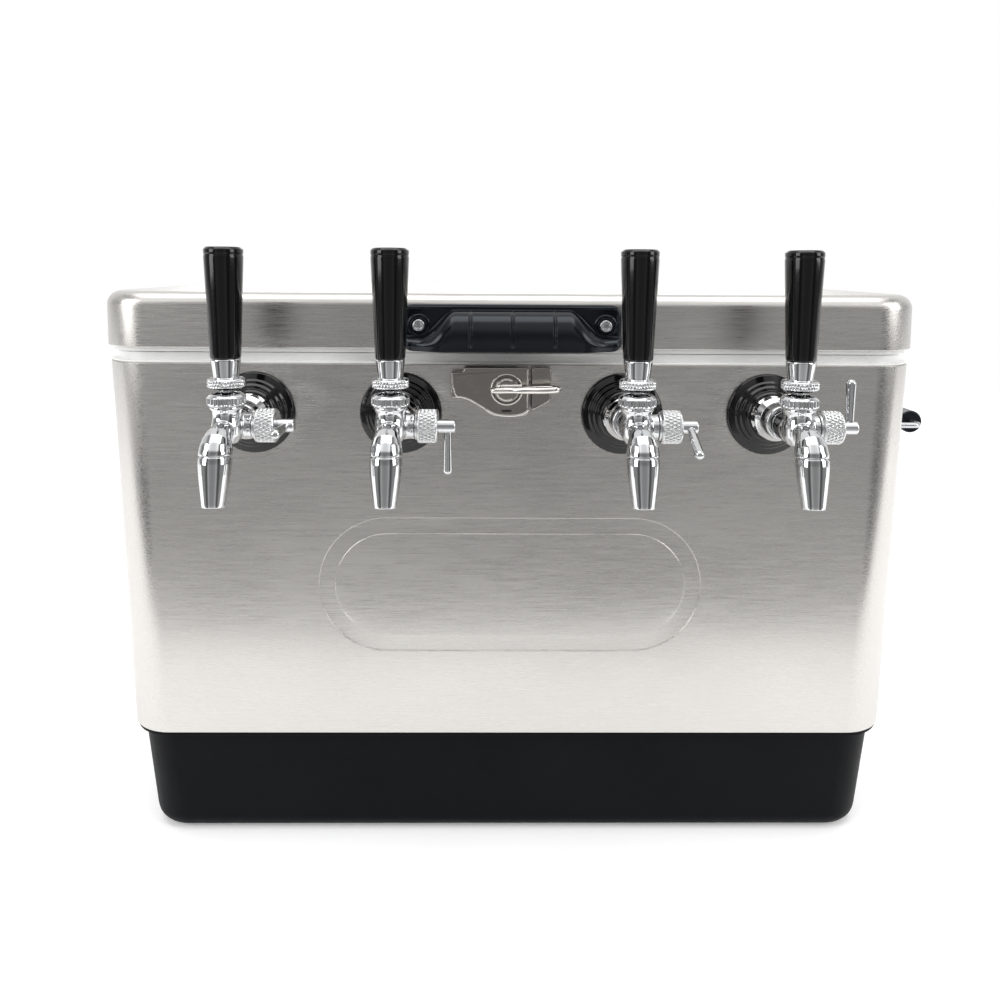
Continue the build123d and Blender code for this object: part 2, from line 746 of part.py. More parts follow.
with BuildPart() as spout_nozzles:
    for x in TAP_X:
        seam = bend_plane(x, BEND_TURN)
        run = Plane(origin=seam.origin, x_dir=seam.z_dir, z_dir=(1, 0, 0))
        profile = outline(
            run,
            [
                (0, 0),
                (0, 10.2),
                (0.8, 10.2),
                (0.8, SPOUT_R),
                (6, 10.7),
                (14, 9.9),
                (24, 8.6),
                (NOZZLE_LEN - 0.8, 7.4),
                (NOZZLE_LEN, 6.8),
                (NOZZLE_LEN, 5.2),
                (8, 5.2),
                (8, 0),
            ],
        )
        revolve(profile, axis=Axis(run.origin, run.x_dir))
spout_nozzles.part.label = "spout_nozzles"
export_step(spout_nozzles.part, "parts/spout_nozzles.step")

with BuildPart() as bonnet_collars:
    for x in TAP_X:
        upright = Plane(origin=tap_point(x, FAUCET_U, 0), x_dir=(1, 0, 0), z_dir=(0, 0, 1))
        stand = Plane(origin=upright.origin, x_dir=(1, 0, 0), z_dir=(0, -1, 0))
        profile = outline(
            stand,
            [
                (7.4, 16.7),
                (12.2, 16.7),
                (13.0, 17.5),
                (13.0, 22.6),
                (10.9, 24.6),
                (9.8, 24.6),
                (9.8, 20),
                (7.4, 18),
            ],
        )
        revolve(profile, axis=Axis(stand.origin, (0, 0, 1)))
        with BuildSketch(upright.offset(18.3)):
            with PolarLocations(13.6, 12):
                Rectangle(2.4, 2.4)
        extrude(amount=3.6, mode=Mode.SUBTRACT)
bonnet_collars.part.label = "bonnet_collars"
export_step(bonnet_collars.part, "parts/bonnet_collars.step")

with BuildPart() as flow_bonnets:
    for x in TAP_X:
        across = Plane(origin=tap_point(x, FLOW_U, FLOW_V), x_dir=(0, 1, 0), z_dir=(1, 0, 0))
        run = Plane(origin=across.origin, x_dir=(1, 0, 0), z_dir=(0, 0, 1))
        profile = outline(
            run,
            [
                (16.1, 4.66),
                (16.1, 9.4),
                (17.6, 9.4),
                (17.6, 11.0),
                (18.4, 11.7),
                (31.2, 11.7),
                (32, 10.9),
                (32, 4.66),
            ],
        )
        revolve(profile, axis=Axis(run.origin, run.x_dir))
        with BuildSketch(across.offset(19)):
            with PolarLocations(11.9, 30):
                Rectangle(0.8, 0.9)
        extrude(amount=11.6, mode=Mode.SUBTRACT)
flow_bonnets.part.label = "flow_bonnets"
export_step(flow_bonnets.part, "parts/flow_bonnets.step")

# ---------------------------------------------------------------------------
# Cold plate, rigid product lines and rear inlets
# ---------------------------------------------------------------------------
PLATE_TOP = 98.0
OUTLET_Y = -85.0
RETURN_Y = 85.0
with BuildPart() as cold_plate:
    with BuildSketch(Plane.XY.offset(FLOOR_Z + 3)):
        RectangleRounded(450, 240, 18)
    extrude(amount=PLATE_TOP - FLOOR_Z - 3)
    fillet(cold_plate.faces().sort_by(Axis.Z)[-1].edges(), radius=4)
    with BuildSketch(Plane.XY.offset(FLOOR_Z)):
        with GridLocations(360, 160, 2, 2):
            Circle(12)
    extrude(amount=3)
cold_plate.part.label = "cold_plate"
export_step(cold_plate.part, "parts/cold_plate.step")

with BuildPart() as plate_fittings:
    spots = [(x, OUTLET_Y) for x in TAP_X] + [(x, RETURN_Y) for x in INLET_X]
    with BuildSketch(Plane.XY.offset(PLATE_TOP)):
        with Locations(*spots):
            RegularPolygon(9, 6)
            Circle(4.03, mode=Mode.SUBTRACT)
    extrude(amount=14)
plate_fittings.part.label = "plate_fittings"
export_step(plate_fittings.part, "parts/plate_fittings.step")

with BuildPart() as outlet_lines:
    for x in TAP_X:
        with BuildLine():
            FilletPolyline(
                (x, OUTLET_Y, PLATE_TOP),
                (x, OUTLET_Y, TAP_Z),
                (x, FRONT_Y + 72.2, TAP_Z),
                radius=24,
            )
        with BuildSketch(Plane.XY.offset(PLATE_TOP)):
            with Locations((x, OUTLET_Y)):
                Circle(4.0)
                Circle(3.0, mode=Mode.SUBTRACT)
        sweep()
outlet_lines.part.label = "outlet_lines"
export_step(outlet_lines.part, "parts/outlet_lines.step")

with BuildPart() as inlet_lines:
    for x in INLET_X:
        with BuildLine():
            FilletPolyline(
                (x, RETURN_Y, PLATE_TOP),
                (x, RETURN_Y, INLET_Z),
                (x, INNER_Y - 20.2, INLET_Z),
                radius=24,
            )
        with BuildSketch(Plane.XY.offset(PLATE_TOP)):
            with Locations((x, RETURN_Y)):
                Circle(4.0)
                Circle(3.0, mode=Mode.SUBTRACT)
        sweep()
inlet_lines.part.label = "inlet_lines"
export_step(inlet_lines.part, "parts/inlet_lines.step")

with BuildPart() as inlet_bulkheads:
    for x in INLET_X:
        port = Plane(origin=(x, BACK_Y, INLET_Z), x_dir=(0, 1, 0), z_dir=(1, 0, 0))
        profile = outline(
            port,
            [
                (-70, 3.2),
                (-70, 7.7),
                (0, 7.7),
                (0, 14),
                (3, 14),
                (3, 11.5),
                (8, 11.5),
                (8, 7.9),
                (23, 7.9),
                (24, 6.9),
                (24, 3.2),
            ],
        )
        revolve(profile, axis=Axis(port.origin, port.x_dir))
inlet_bulkheads.part.label = "inlet_bulkheads"
export_step(inlet_bulkheads.part, "parts/inlet_bulkheads.step")

with BuildPart() as inlet_locknuts:
    for x in INLET_X:
        with BuildSketch(BACK.offset(-52.2)):
            with Locations((-x, INLET_Z)):
                RegularPolygon(13, 6)
                Circle(7.73, mode=Mode.SUBTRACT)
        extrude(amount=-7)
inlet_locknuts.part.label = "inlet_locknuts"
export_step(inlet_locknuts.part, "parts/inlet_locknuts.step")

# ---------------------------------------------------------------------------
# End bails: bracket plates with ears, wire bail, tubular grip
# ---------------------------------------------------------------------------
EAR_Y = 63.0
WIRE_R = 2.5
pivot_x = half_width(BAIL_Z) + BAIL_OUT
taper = math.radians(SIDE_TAPER)
with BuildPart() as bail_brackets:
    for end in (-1, 1):
        wall = Plane(
            origin=(end * half_width(BAIL_Z), 0, BAIL_Z),
            x_dir=(0, end, 0),
            z_dir=(end * math.cos(taper), 0, -math.sin(taper)),
        )
        with BuildSketch(wall):
            RectangleRounded(156, 34, 6)
        extrude(amount=2)
        for y in (-EAR_Y, EAR_Y):
            with BuildSketch(wall):
                with Locations((y * end, 0)):
                    Rectangle(10, 15)
            extrude(amount=BAIL_OUT)
            ear = Plane(origin=(end * pivot_x, y - 5, BAIL_Z), x_dir=(0, 0, 1), z_dir=(0, 1, 0))
            with BuildSketch(ear):
                Circle(7.3)
            extrude(amount=10)
            with BuildSketch(ear):
                Circle(WIRE_R + 0.06)
            extrude(amount=10, mode=Mode.SUBTRACT)
bail_brackets.part.label = "bail_brackets"
export_step(bail_brackets.part, "parts/bail_brackets.step")

with BuildPart() as bracket_screws:
    for end in (-1, 1):
        wall = Plane(
            origin=(end * half_width(BAIL_Z), 0, BAIL_Z),
            x_dir=(0, end, 0),
            z_dir=(end * math.cos(taper), 0, -math.sin(taper)),
        )
        with BuildSketch(wall.offset(2)):
            with GridLocations(92, 20, 2, 2):
                Circle(3.8)
        extrude(amount=1.8, taper=25)
bracket_screws.part.label = "bracket_screws"
export_step(bracket_screws.part, "parts/bracket_screws.step")

BAIL_HANG = 83.0          # the left bail rests this far below level
for name, end, drop in (("right", 1, 0.0), ("left", -1, BAIL_HANG)):
    out_dir = Vector(end * math.cos(math.radians(drop)), 0, -math.sin(math.radians(drop)))
    centre = Vector(end * pivot_x, 0, BAIL_Z)
    far = centre + out_dir * BAIL_REACH
    corners = [
        centre + Vector(0, -EAR_Y + 8, 0),
        centre + Vector(0, -EAR_Y - 11, 0),
        far + Vector(0, -EAR_Y - 11, 0),
        far + Vector(0, EAR_Y + 11, 0),
        centre + Vector(0, EAR_Y + 11, 0),
        centre + Vector(0, EAR_Y - 8, 0),
    ]
    with BuildPart() as bail_wire:
        with BuildLine():
            FilletPolyline(*corners, radius=5.5)
        with BuildSketch(Plane(origin=corners[0], x_dir=(1, 0, 0), z_dir=(0, -1, 0))):
            Circle(WIRE_R)
        sweep()
    bail_wire.part.label = f"bail_wire_{name}"
    export_step(bail_wire.part, f"parts/bail_wire_{name}.step")

    with BuildPart() as bail_grip:
        with BuildSketch(Plane(origin=far - Vector(0, 57, 0), x_dir=(1, 0, 0), z_dir=(0, 1, 0))):
            Circle(10.5)
            Circle(WIRE_R + 0.03, mode=Mode.SUBTRACT)
        extrude(amount=114)
        fillet(bail_grip.edges().filter_by(lambda e: e.length > 40), radius=1.5)
    bail_grip.part.label = f"bail_grip_{name}"
    export_step(bail_grip.part, f"parts/bail_grip_{name}.step")

# ---------------------------------------------------------------------------
# Drain
# ---------------------------------------------------------------------------
drain_in = OPEN_W / 2 - (BODY_TOP - DRAIN_Z) * math.tan(math.radians(LINER_DRAFT))
drain_wall = half_width(BODY_BOTTOM) - BASE_INSET - (BODY_BOTTOM - DRAIN_Z) * math.tan(math.radians(BASE_DRAFT))
drain_axis = Plane(origin=(-drain_wall, DRAIN_Y, DRAIN_Z), x_dir=(-1, 0, 0), z_dir=(0, 1, 0))
with BuildPart() as drain_spout:
    profile = outline(
        drain_axis,
        [
            (drain_in - drain_wall - 1, 5.5),
            (drain_in - drain_wall - 1, 7.0),
            (1.8, 7.0),
            (1.8, 12.0),
            (4.8, 12.0),
            (4.8, 8.9),
            (21, 8.9),
            (22, 7.9),
            (22, 5.5),
        ],
    )
    revolve(profile, axis=Axis(drain_axis.origin, drain_axis.x_dir))
drain_spout.part.label = "drain_spout"
export_step(drain_spout.part, "parts/drain_spout.step")

with BuildPart() as drain_cap:
    profile = outline(
        drain_axis,
        [(6, 8.95), (6, 11.6), (7, 12.6), (24, 12.6), (26, 11), (26, 0), (22.4, 0), (22.4, 8.95)],
    )
    revolve(profile, axis=Axis(drain_axis.origin, drain_axis.x_dir))
    with BuildSketch(Plane(origin=drain_axis.origin, x_dir=(0, 1, 0), z_dir=(-1, 0, 0)).offset(8)):
        with PolarLocations(13.2, 12):
            Circle(1.4)
    extrude(amount=15, mode=Mode.SUBTRACT)
drain_cap.part.label = "drain_cap"
export_step(drain_cap.part, "parts/drain_cap.step")
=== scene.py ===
import bpy
import json
import math
from mathutils import Matrix, Vector
from mathutils.geometry import tessellate_polygon


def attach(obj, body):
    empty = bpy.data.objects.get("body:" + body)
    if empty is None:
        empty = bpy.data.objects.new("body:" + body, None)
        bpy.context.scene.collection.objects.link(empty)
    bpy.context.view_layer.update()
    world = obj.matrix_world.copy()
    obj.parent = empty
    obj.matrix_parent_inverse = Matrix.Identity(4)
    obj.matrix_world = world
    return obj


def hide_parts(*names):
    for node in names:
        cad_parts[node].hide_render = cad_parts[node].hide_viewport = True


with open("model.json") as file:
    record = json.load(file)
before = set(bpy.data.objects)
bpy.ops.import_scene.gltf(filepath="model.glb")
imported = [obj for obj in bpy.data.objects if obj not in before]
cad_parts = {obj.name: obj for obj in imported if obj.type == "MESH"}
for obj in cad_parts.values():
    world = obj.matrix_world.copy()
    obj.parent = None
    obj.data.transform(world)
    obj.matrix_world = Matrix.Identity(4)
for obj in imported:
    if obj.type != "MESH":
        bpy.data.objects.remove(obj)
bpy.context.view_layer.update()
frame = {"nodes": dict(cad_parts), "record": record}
NODES = frame["nodes"]

# Shapes are given in millimetres in the part's frame: the origin is under the middle of the
# base, +Z is up and the taps face -Y. Lights, floor and camera are placed in metres.
MM = 0.001
TAP_X = (-195, -84, 84, 195)
WALL_Y, TAP_Z = -205, 346          # front wall and shank axis


# --------------------------------------------------------------------------
# Node materials
# --------------------------------------------------------------------------
class Shader:
    """A Principled material with short calls for the procedural parts."""

    def __init__(self, name, color, metallic, rough):
        self.mat = bpy.data.materials.new(name)
        self.mat.use_nodes = True
        self.tree = self.mat.node_tree
        self.bsdf = self.tree.nodes["Principled BSDF"]
        self.bsdf.inputs["Base Color"].default_value = (*color, 1)
        self.bsdf.inputs["Metallic"].default_value = metallic
        self.bsdf.inputs["Roughness"].default_value = rough
        self.coords = self.tree.nodes.new("ShaderNodeTexCoord").outputs["Object"]
        self.height = None

    def node(self, kind, **values):
        made = self.tree.nodes.new(kind)
        for key, value in values.items():
            setattr(made, key, value)
        return made

    def link(self, a, b):
        self.tree.links.new(a, b)

    def noise(self, scale, stretch=(1, 1, 1), detail=4.0, rough=0.55):
        mapping = self.node("ShaderNodeMapping")
        mapping.inputs["Scale"].default_value = stretch
        self.link(self.coords, mapping.inputs["Vector"])
        tex = self.node("ShaderNodeTexNoise")
        tex.inputs["Scale"].default_value = scale
        tex.inputs["Detail"].default_value = detail
        tex.inputs["Roughness"].default_value = rough
        self.link(mapping.outputs[0], tex.inputs["Vector"])
        return tex.outputs["Fac"]

    def remap(self, fac, low, high, lo=0.3, hi=0.7):
        made = self.node("ShaderNodeMapRange")
        made.inputs["From Min"].default_value = lo
        made.inputs["From Max"].default_value = hi
        made.inputs["To Min"].default_value = low
        made.inputs["To Max"].default_value = high
        self.link(fac, made.inputs["Value"])
        return made.outputs[0]

    def mix(self, fac, a, b):
        made = self.node("ShaderNodeMix", data_type="RGBA")
        self.link(fac, made.inputs[0])
        for socket, value in ((made.inputs[6], a), (made.inputs[7], b)):
            if isinstance(value, tuple):
                socket.default_value = (*value, 1)
            else:
                self.link(value, socket)
        return made.outputs[2]

    def math(self, op, a, b=0.5):
        made = self.node("ShaderNodeMath", operation=op)
        for socket, value in ((made.inputs[0], a), (made.inputs[1], b)):
            if isinstance(value, (int, float)):
                socket.default_value = value
            else:
                self.link(value, socket)
        return made.outputs[0]

    def color(self, out):
        self.link(out, self.bsdf.inputs["Base Color"])

    def roughness(self, out):
        self.link(out, self.bsdf.inputs["Roughness"])

    def bump(self, out, strength, distance):
        made = self.node("ShaderNodeBump")
        made.inputs["Strength"].default_value = strength
        made.inputs["Distance"].default_value = distance
        self.link(out, made.inputs["Height"])
        if self.height is not None:
            self.link(self.height, made.inputs["Normal"])
        self.height = made.outputs[0]
        self.link(self.height, self.bsdf.inputs["Normal"])


def brushed_steel():
    """Sheet steel with a grain that runs level round the body."""
    s = Shader("steel_brushed_sheet", (0.6, 0.58, 0.555), 1.0, 0.3)
    along_x = s.noise(1.0, (38, 2100, 2100), 3, 0.6)
    along_y = s.noise(1.0, (2100, 38, 2100), 3, 0.6)
    normal = s.node("ShaderNodeNewGeometry").outputs["Normal"]
    parts = s.node("ShaderNodeSeparateXYZ")
    s.link(normal, parts.inputs[0])
    end_wall = s.remap(s.math("ABSOLUTE", parts.outputs["X"]), 0, 1, 0.55, 0.85)
    grain = s.mix(end_wall, along_x, along_y)
    cloud = s.noise(5.0, (1, 1, 1.6), 3)
    tint = s.mix(s.remap(grain, 0, 1), (0.525, 0.51, 0.488), (0.61, 0.593, 0.568))
    s.color(s.mix(s.remap(cloud, 0, 0.35), tint, (0.60, 0.585, 0.565)))
    s.roughness(s.math("ADD", s.remap(grain, 0.20, 0.34), s.remap(cloud, -0.03, 0.06)))
    s.bump(grain, 0.09, 0.00006)
    s.bump(s.noise(9, (1, 1, 1), 2), 0.10, 0.0012)
    s.bsdf.inputs["Anisotropic"].default_value = 0.35
    return s.mat


def chrome(name="chrome_polished", rough=0.035, tint=(0.66, 0.666, 0.676)):
    """Polished plating with faint swirls and handling haze."""
    s = Shader(name, tint, 1.0, rough)
    haze = s.noise(60, (1, 1, 1), 5)
    scratch = s.noise(1.0, (2600, 300, 400), 2, 0.7)
    s.roughness(s.math("ADD", s.remap(haze, rough * 0.6, rough * 1.9), s.remap(scratch, 0, 0.025)))
    s.color(s.mix(s.remap(haze, 0, 1), tint, tuple(c * 0.9 for c in tint)))
    s.bump(s.noise(140, (1, 1, 1), 2), 0.05, 0.0002)
    return s.mat


def plastic(name, color, rough, grain, depth, light=None, coat=0.0, gleam=0.5, sheen=None):
    """Moulded plastic: fine texture, slow tone drift and uneven sheen."""
    s = Shader(name, color, 0.0, rough)
    fine = s.noise(grain, (1, 1, 1), 3, 0.6)
    slow = s.noise(14, (1, 1, 1), 3)
    light = light or tuple(min(1, c * 1.3 + 0.001) for c in color)
    s.color(s.mix(s.remap(slow, 0, 0.8), color, light))
    drift = s.remap(slow, rough - 0.05, rough + 0.07)
    s.roughness(s.math("ADD", drift, s.remap(fine, -0.03, 0.04)))
    s.bump(fine, 0.35, depth)
    s.bsdf.inputs["Coat Weight"].default_value = coat
    s.bsdf.inputs["Coat Roughness"].default_value = 0.06
    s.bsdf.inputs["Specular IOR Level"].default_value = gleam
    if sheen:
        s.bsdf.inputs["Specular Tint"].default_value = (*sheen, 1)
    return s.mat


def satin_metal(name, color, rough, stretch):
    """Plated or drawn metal with a directional satin and light tarnish."""
    s = Shader(name, color, 1.0, rough)
    grain = s.noise(1.0, stretch, 3, 0.6)
    stain = s.noise(45, (1, 1, 1), 5)
    s.color(s.mix(s.remap(stain, 0, 0.7), color, tuple(c * 0.72 for c in color)))
    s.roughness(s.math("ADD", s.remap(grain, rough - 0.08, rough + 0.08), s.remap(stain, 0, 0.08)))
    s.bump(grain, 0.2, 0.00015)
    return s.mat


def foam():
    """Cut insulation with open cells and patchy yellowing."""
    s = Shader("insulation_foam", (0.80, 0.68, 0.42), 0.0, 0.85)
    cells = s.node("ShaderNodeTexVoronoi")
    cells.inputs["Scale"].default_value = 420
    s.link(s.coords, cells.inputs["Vector"])
    s.color(s.mix(s.remap(s.noise(25), 0, 1), (0.80, 0.68, 0.42), (0.87, 0.77, 0.52)))
    s.bump(cells.outputs["Distance"], 0.5, 0.0006)
    return s.mat


MATS = {
    "brushed_steel": brushed_steel(),
    "white_plastic": plastic("white_moulding", (0.86, 0.86, 0.85), 0.32, 900, 0.00008,
                             light=(0.90, 0.90, 0.89)),
    "black_base": plastic("black_base_moulding", (0.0036, 0.0040, 0.0050), 0.46, 1500, 0.0002,
                          gleam=0.06),
    "black_gloss": plastic("black_gloss_moulding", (0.0020, 0.0020, 0.0023), 0.11, 700, 0.00002,
                           coat=0.42, gleam=0.16),
    "black_soft": plastic("black_satin_moulding", (0.0026, 0.0031, 0.0046), 0.21, 1300, 0.00005,
                          coat=0.1, gleam=0.27, sheen=(0.80, 0.90, 1.0)),
    "chrome": chrome(),
    "dark_steel": chrome("nickel_pressed", 0.17, (0.34, 0.318, 0.297)),
    "foam": foam(),
    "gasket": plastic("soft_gasket", (0.55, 0.55, 0.54), 0.6, 800, 0.0001),
    "cast_alu": satin_metal("cast_aluminium", (0.66, 0.67, 0.68), 0.48, (700, 700, 700)),
    "tube_steel": satin_metal("drawn_tube", (0.62, 0.62, 0.63), 0.26, (1600, 1600, 60)),
    "zinc": satin_metal("zinc_plate", (0.60, 0.61, 0.62), 0.24, (900, 300, 900)),
}
# Bright nickel for the thumb-turn, the hub ring and the latch beads; on the lip, edge and joint
# beads its brightness over the plate's nickel is a painted highlight.
NICKEL = chrome("nickel_bright", 0.12, (0.74, 0.71, 0.68))
KNURL = chrome("chrome_knurled", 0.17, (0.66, 0.665, 0.67))

# --------------------------------------------------------------------------
# Carried-over CAD nodes: material by slot, softened edges
# --------------------------------------------------------------------------
slots = {row["node"]: row["material_slot"] for row in frame["record"]["subparts"]}
PLAIN_EDGE = 0.25
EDGE = {"steel_shell": 0.35, "lid_skin": 0.8, "base_shoe": 1.2, "rim_collar": 0.6}
NO_BEVEL = ("foam_core", "lid_foam", "outlet_lines", "inlet_lines", "inner_liner", "lid_liner")
WELD_GAP = 0.01
HARD_EDGE = math.radians(38)


def soften(obj, width):
    """Welds split vertices, rounds the hard edges a little and evens the normals."""
    weld = obj.modifiers.new("weld", "WELD")
    weld.merge_threshold = WELD_GAP * MM
    bevel = obj.modifiers.new("edge", "BEVEL")
    bevel.width = width * MM
    bevel.segments = 2
    bevel.limit_method = "ANGLE"
    bevel.angle_limit = HARD_EDGE
    bevel.harden_normals = False
    bevel.use_clamp_overlap = True
    even = obj.modifiers.new("normals", "WEIGHTED_NORMAL")
    even.keep_sharp = False


for name, obj in NODES.items():
    obj.data.materials.clear()
    obj.data.materials.append(MATS[slots[name]])
    for poly in obj.data.polygons:
        poly.material_index = 0
        poly.use_smooth = True
    if name not in NO_BEVEL:
        soften(obj, EDGE.get(name, PLAIN_EDGE))


# --------------------------------------------------------------------------
# Mesh builders, in millimetres
# --------------------------------------------------------------------------
def make(name, verts, faces, material, body, slot, replaces=()):
    """A new piece from vertices in millimetres."""
    mesh = bpy.data.meshes.new(name)
    mesh.from_pydata([tuple(c * MM for c in v) for v in verts], [], faces)
    mesh.validate()
    obj = bpy.data.objects.new(name, mesh)
    bpy.context.scene.collection.objects.link(obj)
    finish_piece(obj, material, body, replaces)
    return obj


def finish_piece(obj, material, body, replaces=(), place=Vector((0, 0, 0))):
    """Gives a piece its material, body and place, and hides the CAD it stands for."""
    obj.data.materials.clear()
    obj.data.materials.append(material)
    for poly in obj.data.polygons:
        poly.use_smooth = True
    obj.location = place * MM
    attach(obj, body)
    if replaces:
        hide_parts(*replaces)


def rounded(points, radius, steps=4):
    """Rounds the corners of an open profile of (along, radius) points."""
    out = [Vector(points[0])]
    for before, here, after in zip(points, points[1:], points[2:]):
        here = Vector(here)
        a, b = Vector(before) - here, Vector(after) - here
        cut = min(radius, a.length * 0.45, b.length * 0.45)
        start, end = here + a.normalized() * cut, here + b.normalized() * cut
        for k in range(steps + 1):
            t = k / steps
            out.append(start * (1 - t) ** 2 + here * 2 * t * (1 - t) + end * t ** 2)
    out.append(Vector(points[-1]))
    return out


def refine(points, longest):
    """Splits long stretches so that a pattern has points to move."""
    out = [points[0]]
    for a, b in zip(points, points[1:]):
        count = max(1, math.ceil((b - a).length / longest))
        out += [a.lerp(b, k / count) for k in range(1, count + 1)]
    return out


def band(low, high, count):
    """Quads that join two rings of vertices, given by the first index of each."""
    after = [(k + 1) % count for k in range(count)]
    return [(low + k, high + k, high + j, low + j) for k, j in enumerate(after)]


def turned(profile, turn, steps=96, relief=None):
    """Vertices and faces of a turned piece; relief(along, angle) moves the radius."""
    verts, faces, rows = [], [], []
    for along, radius in profile:
        if radius < 0.01:
            rows.append([len(verts)])
            verts.append(turn @ Vector((0, 0, along)))
            continue
        row = []
        for k in range(steps):
            angle = 2 * math.pi * k / steps
            r = radius + (relief(along, angle) if relief else 0)
            row.append(len(verts))
            verts.append(turn @ Vector((r * math.cos(angle), r * math.sin(angle), along)))
        rows.append(row)
    for low, high in zip(rows, rows[1:]):
        for k in range(steps):
            j = (k + 1) % steps
            if len(low) == 1 and len(high) > 1:
                faces.append((low[0], high[j], high[k]))
            elif len(high) == 1 and len(low) > 1:
                faces.append((low[k], low[j], high[0]))
            elif len(low) > 1:
                faces.append((low[k], low[j], high[j], high[k]))
    return verts, faces


def axis_turn(origin, along, side=(1, 0, 0)):
    """Matrix that takes local +Z to a direction, at an origin."""
    z = Vector(along).normalized()
    x = (Vector(side) - z * Vector(side).dot(z)).normalized()
    y = z.cross(x)
    return Matrix.Translation(Vector(origin)) @ Matrix((x, y, z)).transposed().to_4x4()


def tap(w, forward, up):
    """A point of the tap on the middle line: across, out of the wall and above the shank."""
    return Vector((w, WALL_Y - forward, TAP_Z + up))


LEVER_OUT = 66                     # tap lever's axis, out of the wall
FLOW_OUT, FLOW_UP = 58, 1          # flow control's axis, out of the wall and above the shank
FORWARD = axis_turn(tap(0, 0, 0), (0, -1, 0))
UPRIGHT = axis_turn(tap(0, LEVER_OUT, 0), (0, 0, 1))
ACROSS = axis_turn(tap(0, FLOW_OUT, FLOW_UP), (1, 0, 0), (0, 1, 0))


def diamond(low, high, count, pitch, depth):
    """Crossed knurl between two stations along the axis."""
    def relief(along, angle):
        if not low < along < high:
            return 0
        a = math.cos(count * angle + along * 2 * math.pi / pitch)
        b = math.cos(count * angle - along * 2 * math.pi / pitch)
        return -depth * max(0.0, max(a, b)) ** 2
    return relief


def flutes(low, high, count, depth):
    """Flat-bottomed grooves along the axis between two stations."""
    def relief(along, angle):
        if not low < along < high:
            return 0
        return -depth * (0.5 - 0.5 * math.tanh(4 * math.cos(count * angle)))
    return relief


def shared(name, verts, faces, material, slot, body, cad):
    """The same turned piece on each of the four taps; {} in a name stands for the tap's number."""
    mesh = bpy.data.meshes.new(name)
    mesh.from_pydata([tuple(c * MM for c in v) for v in verts], [], faces)
    mesh.validate()
    for number, x in enumerate(TAP_X, start=1):
        obj = bpy.data.objects.new(f"{name}_{number}", mesh)
        bpy.context.scene.collection.objects.link(obj)
        hidden = (cad.format(number),)
        finish_piece(obj, material, body.format(number), hidden, Vector((x, 0, 0)))


# --------------------------------------------------------------------------
# Tap hardware: profiles of (along the axis, radius)
# --------------------------------------------------------------------------
flange = rounded(
    [(0.1, 11.4), (0.1, 31), (1.9, 31), (2.9, 30.2), (4.5, 26.9), (4.9, 26.0), (6.5, 24.6),
     (7.0, 23.0), (8.9, 21.4), (9.5, 19.6), (11.4, 18.6), (12.8, 17.2), (12.9, 11.4)], 0.5)
shared("shank_flange", *turned(flange, FORWARD, 128),
       MATS["black_gloss"], "black_gloss", "cabinet", "shank_flanges")

nut = refine(rounded(
    [(13.1, 11.1), (13.1, 15.6), (14.2, 16.4), (22.4, 16.4), (23.6, 15.4), (26.5, 13.4),
     (36.2, 12.6), (37.6, 11.9), (37.8, 9.7)], 0.6), 0.8)
shared("coupling_nut", *turned(nut, FORWARD, 144, flutes(14.3, 22.2, 10, 1.5)),
       MATS["chrome"], "chrome", "cabinet", "coupling_nuts")

collar = refine(rounded(
    [(16.75, 7.5), (16.75, 12.5), (17.3, 13.0), (22.6, 13.0), (24.55, 10.9), (24.58, 9.85),
     (20, 9.85)], 0.45), 0.35)
shared("bonnet_collar", *turned(collar, UPRIGHT, 224, flutes(17.7, 22.2, 26, 0.8)),
       MATS["chrome"], "chrome", "cabinet", "bonnet_collars")

bonnet = refine(rounded(
    [(16.1, 4.8), (16.1, 9.2), (17.5, 9.4), (17.6, 10.8), (18.5, 11.7), (31.0, 11.7),
     (31.95, 10.7), (31.95, 4.8)], 0.4), 0.35)
shared("flow_bonnet", *turned(bonnet, ACROSS, 240, diamond(19.0, 30.6, 26, 5.2, 0.8)),
       KNURL, "chrome", "cabinet", "flow_bonnets")

lever = refine(rounded(
    [(7.2, 0), (8.2, 3.6), (11, 5.3), (14.3, 5.0), (16.2, 3.1), (27.1, 3.1), (28.0, 9.6),
     (29.4, 12.5), (34.2, 12.5), (35.2, 11.3), (35.4, 8.5), (36.6, 8.6), (47.6, 10.0),
     (48.4, 9.6), (48.45, 0)], 0.5), 0.4)
shared("lever_stem", *turned(lever, UPRIGHT, 224, diamond(29.6, 34.0, 34, 4.4, 0.7)),
       MATS["chrome"], "chrome", "tap_lever_{}", "tap_lever_{}")

handle = rounded(
    [(48.7, 0), (48.7, 9.5), (49.2, 10.1), (52, 10.35), (80, 11.4), (108, 12.55), (116.6, 12.9),
     (118.2, 12.55), (119.2, 12.9), (121.6, 12.9), (123.2, 11.4), (123.45, 9.6), (123.0, 8.6),
     (122.8, 0)], 0.6, 6)
shared("tap_grip", *turned(handle, UPRIGHT),
       MATS["black_gloss"], "black_gloss", "tap_lever_{}", "tap_handle_{}")

# The outlet runs level to BEND_OUT, then turns down through BEND_TURN degrees
BEND_OUT, BEND_R, BEND_TURN = 76.4, 15.9, 79.5


def bend(turn):
    """Centre and heading of the outlet after it has turned down by an angle in degrees."""
    a = math.radians(turn)
    centre = tap(0, BEND_OUT + BEND_R * math.sin(a), -BEND_R * (1 - math.cos(a)))
    return centre, Vector((0, -math.cos(a), -math.sin(a)))


seam, heading = bend(BEND_TURN)
DOWN = axis_turn(seam, heading)
nozzle = rounded(
    [(-0.2, 5.4), (0.0, 10.1), (0.7, 10.2), (0.8, 10.75), (5, 10.85), (12, 10.25), (22, 8.9),
     (31.4, 7.55), (32.9, 7.2), (33.0, 6.2), (32.6, 5.4), (12, 5.2), (12, 0)], 0.5)
shared("spout_nozzle", *turned(nozzle, DOWN),
       MATS["chrome"], "chrome", "cabinet", "spout_nozzles")


